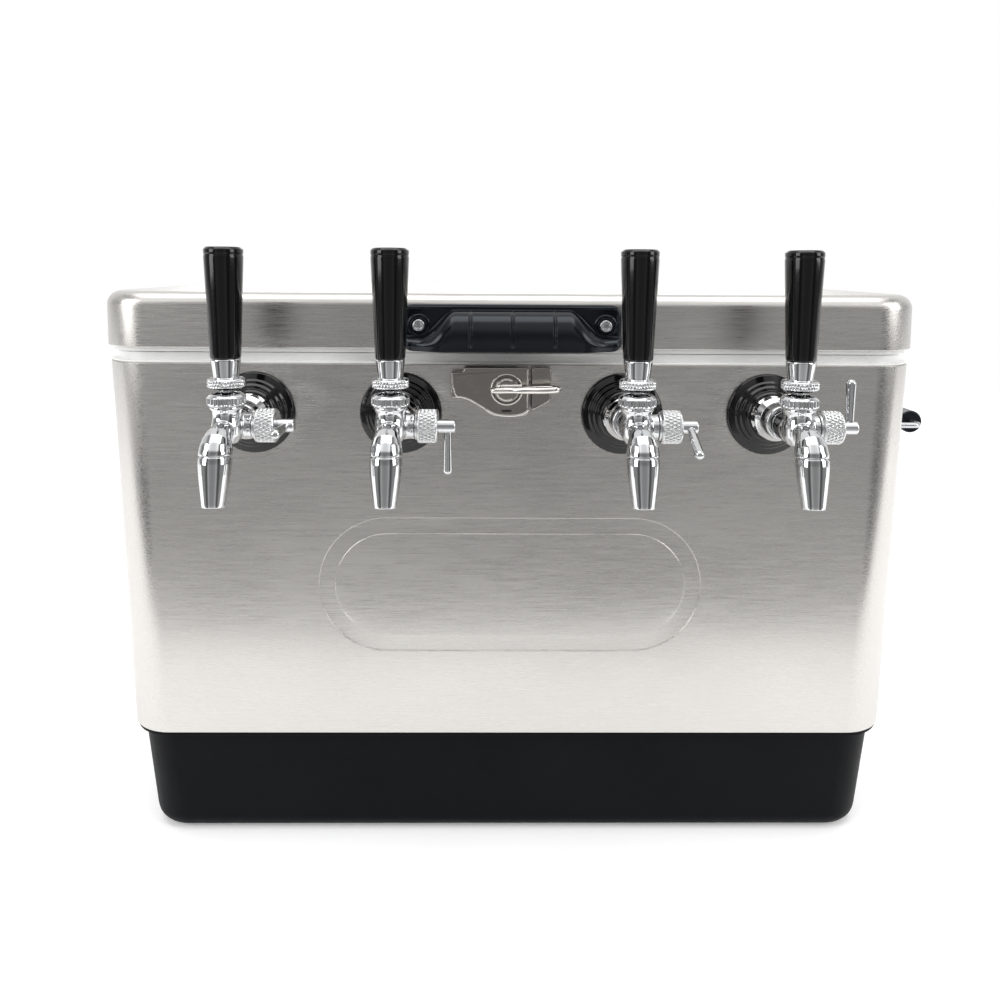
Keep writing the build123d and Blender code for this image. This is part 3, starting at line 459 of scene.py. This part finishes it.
CASTING_VOXEL = 0.5                # grain of the remesh that joins the casting's parts
OUTLET_RUN = 14                    # level start of the outlet, inside the barrel


def outlet_tube(count=48):
    """The outlet as a tube that widens along the bend; the first station is its level start."""
    verts, faces = [], []
    stations = [(-1, 6.4), (0, 6.9), (14, 7.5), (30, 8.6), (46, 9.8), (60, 10.6), (72, 10.9),
                (BEND_TURN, 10.75)]
    side = Vector((1, 0, 0))
    for index, (turn, radius) in enumerate(stations):
        centre, ahead = bend(max(turn, 0))
        if turn < 0:
            centre = centre - ahead * OUTLET_RUN
        up = ahead.cross(side)
        for k in range(count):
            a = 2 * math.pi * k / count
            verts.append(centre + (side * math.cos(a) + up * math.sin(a)) * radius)
        if index:
            faces += band((index - 1) * count, index * count, count)
    faces.append(tuple(range(count)))
    faces.append(tuple(reversed(range(len(verts) - count, len(verts)))))
    return verts, faces


def faucet_casting():
    """Barrel, neck, boss and outlet grown into one smooth casting."""
    barrel = rounded(
        [(22.3, 0), (22.3, 9.2), (38, 9.3), (44, 10.6), (60, 11.0), (68, 8), (70, 0)], 1)
    neck = rounded(
        [(-10, 0), (-9.5, 7), (-4, 10.4), (3, 10.8), (9, 9.6), (12.5, 9.9), (14.5, 11.6),
         (16.6, 11.6), (16.6, 0)], 1.2)
    boss = rounded([(0, 0), (0, 9.4), (8, 9.4), (13.6, 8.6), (15.9, 9.3), (16.0, 0)], 0.8)
    shells = [turned(barrel, FORWARD, 64), turned(neck, UPRIGHT, 64), turned(boss, ACROSS, 64),
              outlet_tube()]
    all_verts, all_faces = [], []
    for part_verts, part_faces in shells:
        start = len(all_verts)
        all_verts += [tuple(c * MM for c in v) for v in part_verts]
        all_faces += [tuple(i + start for i in f) for f in part_faces]
    mesh = bpy.data.meshes.new("faucet_rough")
    mesh.from_pydata(all_verts, [], all_faces)
    rough = bpy.data.objects.new("faucet_rough", mesh)
    bpy.context.scene.collection.objects.link(rough)
    remesh = rough.modifiers.new("grow", "REMESH")
    remesh.mode = "VOXEL"
    remesh.voxel_size = CASTING_VOXEL * MM
    smooth = rough.modifiers.new("flow", "SMOOTH")
    smooth.factor = 0.5
    smooth.iterations = 14
    bpy.context.view_layer.update()
    graph = bpy.context.evaluated_depsgraph_get()
    grown = bpy.data.meshes.new_from_object(rough.evaluated_get(graph))
    bpy.data.objects.remove(rough)
    return grown


casting = faucet_casting()
for number, x in enumerate(TAP_X, start=1):
    piece = bpy.data.objects.new(f"faucet_casting_{number}", casting)
    bpy.context.scene.collection.objects.link(piece)
    finish_piece(piece, MATS["chrome"], "cabinet", (f"faucet_body_{number}",),
                 Vector((x, 0, 0)))


# --------------------------------------------------------------------------
# Lid handle: a ribbed grip that flares into a framed base plate with two screws
# --------------------------------------------------------------------------
LID_Y = -207                       # front face of the lid
GRIP_FOOT, PLATE_TOP = 394.4, 428.9
GRIP_CREST, GRIP_DROP = 424.2, 19.5
PLATE_HALF, PLATE_CORNER = 81.9, 8.0
PLATE_OUT, SHOULDER = 3.0, 0.9     # plate in front of the lid, grip's first rise off the plate
SCREW_X, SCREW_Z, SCREW_OUT = 70, 413, 3.9
RIBS, RIB_FOOT = (-31, 0, 31), 397.5
HANDLE_WALL = 3.4


def step_between(a, b, value):
    """Smooth rise from 0 at a to 1 at b."""
    t = min(1, max(0, (value - a) / (b - a)))
    return t * t * (3 - 2 * t)


def grip_top(x):
    """Height of the upper edge of the grip at a station along the handle."""
    return GRIP_CREST - GRIP_DROP * step_between(42, 69, abs(x))


def grip_out(x, z):
    """How far the handle stands out of the lid face."""
    top = grip_top(x)
    full = 19.0 - 9.0 * step_between(50, 76, abs(x))
    full *= 1 - 0.25 * step_between(77, 82, abs(x))
    depth = top - z
    if depth <= 0:
        foot = SHOULDER * math.exp(depth / 1.6)
        boss = math.hypot(abs(x) - SCREW_X, z - SCREW_Z)
        ring = 0.9 * math.exp(-((boss - 7.6) / 0.7) ** 2)
        frame_gap = min(PLATE_TOP - z, plate_edge(z) - abs(x))
        frame_bead = 0.8 * math.exp(-((frame_gap - 2.3) / 0.65) ** 2)
        return PLATE_OUT + max(foot, ring, frame_bead)
    reach = max(6.0, 21.0 - 14.5 * step_between(46, 70, abs(x)))
    t = min(1, depth / reach)
    bulge = math.sqrt(1 - (1 - t) ** 2)
    tuck = 1.6 * step_between(0.55, 1.0, (top - z) / (top - GRIP_FOOT))
    out = PLATE_OUT + SHOULDER + (full - SHOULDER) * bulge - tuck
    for rib in RIBS:
        if abs(x - rib) < 3.4 and z > RIB_FOOT:
            crest = 2.6 * math.exp(-((x - rib) / 0.85) ** 2)
            out += crest * step_between(RIB_FOOT, RIB_FOOT + 3, z)
    return out


def plate_edge(z):
    """Half width of the base plate at a height, with rounded corners."""
    gap = min(z - GRIP_FOOT, PLATE_TOP - z)
    if gap >= PLATE_CORNER:
        return PLATE_HALF
    rise = max(0, PLATE_CORNER ** 2 - (PLATE_CORNER - gap) ** 2)
    return PLATE_HALF - PLATE_CORNER + math.sqrt(rise)


def lid_handle(columns=330, rows=84):
    """Front and back sheets on one grid, joined round the edge; the grip is hollow behind."""
    verts, faces = [], []
    for back in (False, True):
        for j in range(rows + 1):
            z = GRIP_FOOT + (PLATE_TOP - GRIP_FOOT) * j / rows
            for i in range(columns + 1):
                x = plate_edge(z) * (2 * i / columns - 1)
                out = grip_out(x, z)
                edge = min(z - GRIP_FOOT + 0.6, PLATE_TOP - z, plate_edge(z) - abs(x))
                if not back:
                    out -= 1.1 * math.exp(-max(0, edge) / 0.5)
                else:
                    inner = min(z + 2.6, PLATE_TOP)
                    hollow = min(grip_out(x * 1.03, inner), grip_out(x * 1.03, z)) - HANDLE_WALL
                    out = hollow if hollow > 3.2 and z < 421 and abs(x) < 74 else 0.15
                verts.append((x, LID_Y - out, z))
    span = columns + 1
    sheet = (rows + 1) * span
    for j in range(rows):
        for i in range(columns):
            a = j * span + i
            faces.append((a, a + 1, a + span + 1, a + span))
            b = a + sheet
            faces.append((b, b + span, b + span + 1, b + 1))
    for i in range(columns):
        faces.append((i, i + sheet, i + 1 + sheet, i + 1))
        top = rows * span + i
        faces.append((top, top + 1, top + 1 + sheet, top + sheet))
    for j in range(rows):
        a = j * span
        faces.append((a, a + span, a + span + sheet, a + sheet))
        b = a + columns
        faces.append((b, b + sheet, b + span + sheet, b + span))
    make("lid_grip", verts, faces, MATS["black_soft"], "lid", "black_soft", ("lid_handle",))


lid_handle()

for side in (-1, 1):
    seat = axis_turn((side * SCREW_X, LID_Y - PLATE_OUT, SCREW_Z), (0, -1, 0))
    washer = rounded([(0.0, 0), (0.0, 6.3), (0.6, 6.4), (0.95, 5.8), (0.95, 0)], 0.3)
    make(f"handle_washer_{side + 1}", *turned(washer, seat, 64),
         MATS["black_soft"], "lid", "black_soft")


def screw_head(name, seat, radius, height, material, body, slot, hidden=()):
    """Pan head with a cross recess, its arms on the diagonals."""
    steps, rings = 64, 14
    verts, faces = [], []
    for ring in range(rings + 1):
        share = ring / rings
        r = radius * share
        for k in range(steps):
            a = 2 * math.pi * k / steps
            x, y = r * math.cos(a), r * math.sin(a)
            dome = height * (0.62 + 0.38 * math.sqrt(max(0, 1 - share ** 2)))
            u, v = (x + y) / math.sqrt(2), (x - y) / math.sqrt(2)
            arm = min(abs(u), abs(v))
            inside = 1 - step_between(0.10 * radius, 0.20 * radius, arm)
            inside *= 1 - step_between(0.5, 0.66, share)
            verts.append(seat @ Vector((x, y, dome - inside * height * 0.6)))
        if ring:
            faces += band((ring - 1) * steps, ring * steps, steps)
    rim = rings * steps
    for k in range(steps):
        a = 2 * math.pi * k / steps
        verts.append(seat @ Vector((radius * math.cos(a), radius * math.sin(a), 0.0)))
    faces += band(rim, rim + steps, steps)
    make(name, verts, faces, material, body, slot, hidden)


for side in (-1, 1):
    seat = axis_turn((side * SCREW_X, LID_Y - SCREW_OUT, SCREW_Z), (0, -1, 0))
    screw_head(f"handle_screw_{side + 1}", seat, 4.5, 2.2,
               MATS["zinc"], "lid", "zinc", ("lid_handle_screws",))


# --------------------------------------------------------------------------
# Latch: two pressed plates, the hub with its beads, and the thumb-turn
# --------------------------------------------------------------------------
HUB_X, HUB_Z = -4, 366             # axis of the turn
PAN_OUT, CATCH_OUT = 12.0, 11.4    # faces of the two plates in front of the wall
LATCH_SHEET = 1.2


def outline_points(outline, corner, spacing=1.5):
    """Points round an outline, with its corners rounded and its long sides divided."""
    points = []
    count = len(outline)
    for index in range(count):
        here = Vector(outline[index])
        a = Vector(outline[index - 1]) - here
        b = Vector(outline[(index + 1) % count]) - here
        cut = min(corner, a.length * 0.45, b.length * 0.45)
        start, end = here + a.normalized() * cut, here + b.normalized() * cut
        for k in range(7):
            t = k / 6
            points.append(start * (1 - t) ** 2 + here * 2 * t * (1 - t) + end * t ** 2)
        far = Vector(outline[(index + 1) % count])
        run = (far - here).length
        for k in range(1, int(run / spacing)):
            step = here.lerp(far, k * spacing / run)
            if (step - here).length > cut * 1.2 and (far - step).length > corner * 1.2:
                points.append(step)
    return points


def pressed_plate(name, outline, face_out, corner, hidden=(), open_to=None):
    """Pressed sheet: walls down to the panel, a rounded shoulder and an open back.

    Left of open_to the top wall stops short, which leaves room for the cam.
    """
    points = outline_points(outline, corner)
    total = len(points)
    area = sum(points[i - 1].cross(points[i]) for i in range(total))
    turn = 1 if area > 0 else -1
    normals = []
    for index in range(total):
        run = points[(index + 1) % total] - points[index - 1]
        normals.append(Vector((run.y, -run.x)).normalized() * turn)
    sheet = LATCH_SHEET
    verts, faces = [], []
    # (inset, out) of each ring; None is the wall's foot
    rings = [(-sheet, None), (0.0, None), (0.0, face_out - 1.3), (-0.1, face_out - 0.75),
             (-0.35, face_out - 0.35), (-0.75, face_out - 0.1), (-1.3, face_out),
             (-1.7, face_out), (-1.75, face_out - sheet), (-sheet, face_out - sheet - 0.2)]
    front, rear = 7, 8             # rings that the two flat faces close
    for inset, out in rings:
        for point, normal in zip(points, normals):
            cut_away = open_to is not None and point.y > 15 and point.x < open_to
            wall_foot = face_out - sheet - 0.3 if cut_away else 0.1
            depth = wall_foot if out is None else out
            p = point + normal * inset
            verts.append((HUB_X + p.x, WALL_Y - depth, HUB_Z + p.y))
    order = list(range(len(rings)))
    for a_ring, b_ring in zip(order, order[1:] + order[:1]):
        if a_ring == front:
            continue
        for k in range(total):
            j = (k + 1) % total
            a, b = a_ring * total, b_ring * total
            faces.append((a + k, a + j, b + j, b + k))
    faces.append(tuple(front * total + k for k in range(total)))
    faces.append(tuple(reversed([rear * total + k for k in range(total)])))
    plate = make(name, verts, faces, MATS["dark_steel"], "cabinet", "dark_steel", hidden)
    for flat in (len(faces) - 2, len(faces) - 1):
        plate.data.polygons[flat].use_smooth = False


PAN = [(-41.8, -7), (-41.8, 12.6), (-33, 12.6), (-31.4, 16.4), (16.6, 16.4), (16.6, -17.8),
       (14.5, -20), (2, -21.4), (-11.5, -20), (-17, -15.5), (-31, -7)]
CATCH = [(18.4, 16.4), (33.2, 16.4), (33.2, -8.5), (26, -13.0), (18.4, -16.6)]
pressed_plate("latch_pan", PAN, PAN_OUT, 2.2, ("latch_cover",), open_to=6.2)
pressed_plate("latch_catch_side", CATCH, CATCH_OUT, 3.0)
HUB = axis_turn((HUB_X, WALL_Y - PAN_OUT, HUB_Z), (0, -1, 0))
ring = rounded([(-0.3, 12.4), (0.7, 12.2), (1.3, 11.6), (1.3, 10.9), (0.6, 10.3), (-0.3, 10.2)], 0.4)
make("latch_hub_ring", *turned(ring, HUB), NICKEL, "cabinet", "dark_steel")


def bent_bar(name, path, radius, body, closed=False):
    """A round nickel bar along a path of points."""
    curve = bpy.data.curves.new(name, "CURVE")
    curve.dimensions = "3D"
    curve.bevel_depth = radius * MM
    curve.bevel_resolution = 6
    curve.use_fill_caps = True
    spline = curve.splines.new("NURBS")
    spline.points.add(len(path) - 1)
    for point, co in zip(spline.points, path):
        point.co = (*[c * MM for c in co], 1)
    spline.use_cyclic_u = closed
    spline.order_u = 3
    spline.use_endpoint_u = not closed
    spline.resolution_u = 10
    rough = bpy.data.objects.new(name + "_path", curve)
    bpy.context.scene.collection.objects.link(rough)
    bpy.context.view_layer.update()
    graph = bpy.context.evaluated_depsgraph_get()
    mesh = bpy.data.meshes.new_from_object(rough.evaluated_get(graph))
    bpy.data.objects.remove(rough)
    obj = bpy.data.objects.new(name, mesh)
    bpy.context.scene.collection.objects.link(obj)
    finish_piece(obj, NICKEL, body)


def hub_point(x, out, z):
    """A point from the latch's axis: across, out of the wall and up."""
    return (HUB_X + x, WALL_Y - out, HUB_Z + z)


# LIP, EDGE_BEAD and JOINT_BEAD trace the plate's edges for raised beads in the bright nickel,
# brighter than the plate's own nickel: partly real relief, partly a painted highlight along each
# edge.
LIP = [(-15.5, -14.8), (-10.8, -18.7), (2, -20.2), (13.6, -18.6), (16.2, -15.4)]
EDGE_BEAD = [(-40.6, 11), (-40.6, -5.9), (-30.6, -5.9), (-16.6, -14.2), (-15.9, -14.6)]
JOINT_BEAD = [(15.4, 14.8), (15.4, 8), (15.4, 0), (15.4, -8), (15.4, -14.0)]
bent_bar("latch_lip_bead_highlight", [hub_point(x, PAN_OUT, z) for x, z in LIP], 0.9, "cabinet")

# The slot in the lip is not cut through: a thin black card on the lip's face stands in for it,
# painted shade where the opening is dark.
slot_shade_box = [hub_point(x, out, z)
            for z in (-17.2, -15.4) for out in (12.05, 12.12) for x in (-3.6, 3.6)]
SHADE_BOX_SIDES = [(2, 3, 7, 6), (0, 4, 5, 1), (0, 1, 3, 2), (4, 6, 7, 5), (0, 2, 6, 4), (1, 5, 7, 3)]
make("latch_slot_shade", slot_shade_box, SHADE_BOX_SIDES, MATS["black_gloss"], "cabinet", "black_gloss")

bent_bar("latch_edge_bead_highlight", [hub_point(x, PAN_OUT, z) for x, z in EDGE_BEAD], 0.6, "cabinet")
bent_bar("latch_joint_bead_highlight", [hub_point(x, PAN_OUT, z) for x, z in JOINT_BEAD], 0.6, "cabinet")

HUB_BEAD_R, HUB_BEAD_OUT = 7.6, 15.5
hub_angles = [math.radians(a) for a in range(60, 315, 15)]
bent_bar("latch_hub_bead",
         [hub_point(HUB_BEAD_R * math.cos(a), HUB_BEAD_OUT, HUB_BEAD_R * math.sin(a))
          for a in hub_angles], 0.75, "latch")

# Thumb-turn: a flat bow with an eye, nearly edge-on from the front and rising to the right
BOW_UP, BOW_RISE = 0.4, 0.05
BOW = [(-10.5, 15.6), (-10.5, 17.8), (-4, 19.6), (2, 20.6), (12, 25), (26, 29), (35.5, 28.6),
       (38.2, 25), (35.5, 20.6), (26, 18.2), (12, 17.6), (2, 17.2), (-5, 16.2)]
LUG = [(-6, 15.4, 3.0), (-4, 17.2, 3.1), (3, 18.6, 3.3), (11, 19.4, 3.6)]
bent_bar("thumb_bow", [hub_point(x, out, BOW_UP + BOW_RISE * x) for x, out in BOW], 2.4, "latch",
         closed=True)
bent_bar("thumb_lug", [hub_point(*point) for point in LUG], 1.5, "latch")

WEB = [(-7, 14.4), (-7, 18), (-3, 20.5), (8, 24.8), (26, 28.6), (35, 28.2), (37.4, 25),
       (35, 21.0), (26, 18.6), (12, 17.6), (4, 16.2), (3, 14.4)]
WEB_HALF = 1.5
EYE_X, EYE_OUT, EYE_WIDE, EYE_DEEP = 27.5, 23.6, 5.2, 2.0


def thumb_web():
    """The plate inside the bow, with the eye cut through it."""
    angles = [a * math.pi / 12 for a in range(24)]
    eye = [(EYE_X + EYE_WIDE * math.cos(a), EYE_OUT + EYE_DEEP * math.sin(a)) for a in angles]
    flat = tessellate_polygon([[Vector((x, y, 0)) for x, y in loop] for loop in (WEB, eye)])
    points = WEB + eye
    count = len(points)
    verts = [hub_point(x, out, z + BOW_UP + BOW_RISE * x)
             for z in (-WEB_HALF, WEB_HALF) for x, out in points]
    faces = [tuple(f) for f in flat] + [tuple(i + count for i in reversed(f)) for f in flat]
    for start, length in ((0, len(WEB)), (len(WEB), len(eye))):
        faces += band(start, start + count, length)
    web = make("thumb_web", verts, faces, NICKEL, "latch", "dark_steel", ("latch_thumb_turn",))
    for poly in web.data.polygons:
        poly.use_smooth = False
    soften(web, 0.5)


thumb_web()
disc = rounded([(-0.4, 5.0), (0.8, 5.0), (0.8, 9.3), (2.4, 9.4), (3.4, 8.6), (3.6, 0)], 0.6)
make("thumb_disc", *turned(disc, HUB), MATS["dark_steel"], "latch", "dark_steel")

# --------------------------------------------------------------------------
# Floor, light and camera
# --------------------------------------------------------------------------
FLOOR_HALF, FLOOR_FRONT, FLOOR_BACK = 6, -0.59, 2.2
FLOOR_GLOW = 0.19                  # lifts the paper to the white of the room behind
floor_mesh = bpy.data.meshes.new("floor")
floor_mesh.from_pydata(
    [(-FLOOR_HALF, FLOOR_FRONT, 0), (FLOOR_HALF, FLOOR_FRONT, 0), (FLOOR_HALF, FLOOR_BACK, 0),
     (-FLOOR_HALF, FLOOR_BACK, 0)], [], [(0, 1, 2, 3)])
floor = bpy.data.objects.new("floor", floor_mesh)
bpy.context.scene.collection.objects.link(floor)
paper = Shader("floor_paper", (0.93, 0.93, 0.93), 0.0, 0.75)
paper.bump(paper.noise(300), 0.05, 0.0002)
paper.bsdf.inputs["Specular IOR Level"].default_value = 0.15
paper.bsdf.inputs["Emission Color"].default_value = (1, 1, 1, 1)
paper.bsdf.inputs["Emission Strength"].default_value = FLOOR_GLOW
floor_mesh.materials.append(paper.mat)

world = bpy.data.worlds.new("studio")
bpy.context.scene.world = world
world.use_nodes = True
tree = world.node_tree
back = tree.nodes["Background"]
direction = tree.nodes.new("ShaderNodeTexCoord").outputs["Generated"]
split = tree.nodes.new("ShaderNodeSeparateXYZ")
tree.links.new(direction, split.inputs[0])


def world_ramp(value, stops):
    """Grey ramp over a value from 0 to 1."""
    ramp = tree.nodes.new("ShaderNodeValToRGB")
    tree.links.new(value, ramp.inputs["Fac"])
    marks = ramp.color_ramp.elements
    while len(marks) < len(stops):
        marks.new(0.5)
    for mark, (position, level) in zip(marks, stops):
        mark.position = position
        mark.color = (level, level, level, 1)
    return ramp.outputs["Color"]


def world_range(value, low, high):
    """A value taken from low..high to 0..1."""
    made = tree.nodes.new("ShaderNodeMapRange")
    made.inputs["From Min"].default_value = low
    made.inputs["From Max"].default_value = high
    tree.links.new(value, made.inputs["Value"])
    return made.outputs[0]


def world_mix(kind, fac, a, b):
    """Two colours mixed; a number stands for a grey."""
    made = tree.nodes.new("ShaderNodeMix")
    made.data_type = "RGBA"
    made.blend_type = kind
    for socket, value in ((made.inputs[0], fac), (made.inputs[6], a), (made.inputs[7], b)):
        if isinstance(value, (int, float)):
            socket.default_value = value if socket == made.inputs[0] else (value, value, value, 1)
        else:
            tree.links.new(value, socket)
    return made.outputs[2]


# The room in front is dim between two dark flags; behind the object it is white.
# Each stop is (position, grey): floor to ceiling, then middle to side.
RISE_STOPS = [(0.0, 0.9), (0.28, 0.6), (0.40, 0.36), (0.52, 0.36), (0.62, 0.24), (0.72, 0.5),
              (0.82, 1.1), (1.0, 1.2)]
FLAG_STOPS = [(0.0, 0.88), (0.30, 1.0), (0.46, 1.45), (0.60, 0.30), (0.70, 0.30), (0.84, 0.9),
              (1.0, 0.9)]
rise = world_ramp(world_range(split.outputs["Z"], -1, 1), RISE_STOPS)
sideways = tree.nodes.new("ShaderNodeMath")
sideways.operation = "ABSOLUTE"
tree.links.new(split.outputs["X"], sideways.inputs[0])
flags = world_ramp(sideways.outputs[0], FLAG_STOPS)
room = world_mix("MULTIPLY", 1.0, rise, flags)
whole = world_mix("MIX", world_range(split.outputs["Y"], 0.05, 0.5), room, 1.0)
tree.links.new(whole, back.inputs["Color"])
back.inputs["Strength"].default_value = 1.0


def softbox(name, place, aim, wide, tall, power):
    """A rectangular area light that faces a point."""
    light = bpy.data.lights.new(name, "AREA")
    light.shape = "RECTANGLE"
    light.size, light.size_y = wide, tall
    light.energy = power
    lamp = bpy.data.objects.new(name, light)
    bpy.context.scene.collection.objects.link(lamp)
    lamp.location = place
    lamp.rotation_mode = "QUATERNION"
    lamp.rotation_quaternion = (Vector(aim) - Vector(place)).to_track_quat("-Z", "Y")


softbox("left_strip", (-2.1, -1.5, 1.1), (0, -0.1, 0.3), 1.1, 1.8, 30)
softbox("right_strip", (2.2, -1.2, 1.2), (0, -0.1, 0.3), 1.0, 1.8, 27)
softbox("overhead", (0, -0.4, 2.6), (0, 0, 0.3), 2.6, 1.2, 26)
softbox("back_fill", (0, 2.4, 1.5), (0, 0, 0.4), 2.5, 1.2, 12)

CAM_AT = (-0.01588, -0.83507, 0.45812)
PITCH, YAW, ROLL = 0.0891, 0.0107, 0.0063      # radians: down, to the right, tilted
SENSOR, LENS = 36, 30.15                       # millimetres
SHIFT = -0.16                                  # of the frame's width
ahead = Vector((math.sin(YAW) * math.cos(PITCH), math.cos(YAW) * math.cos(PITCH), -math.sin(PITCH)))
right = Vector((math.cos(YAW), -math.sin(YAW), 0))
up = right.cross(ahead)
turned_right = right * math.cos(ROLL) + up * math.sin(ROLL)
turned_up = up * math.cos(ROLL) - right * math.sin(ROLL)
camera_data = bpy.data.cameras.new("camera")
camera_data.sensor_width = SENSOR
camera_data.lens = LENS
camera_data.shift_y = SHIFT
camera_data.clip_start, camera_data.clip_end = 0.01, 60
camera = bpy.data.objects.new("camera", camera_data)
bpy.context.scene.collection.objects.link(camera)
basis = Matrix((turned_right, turned_up, -ahead)).transposed()
camera.matrix_world = Matrix.Translation(CAM_AT) @ basis.to_4x4()
bpy.context.scene.camera = camera
bpy.context.scene.view_settings.view_transform = "Standard"
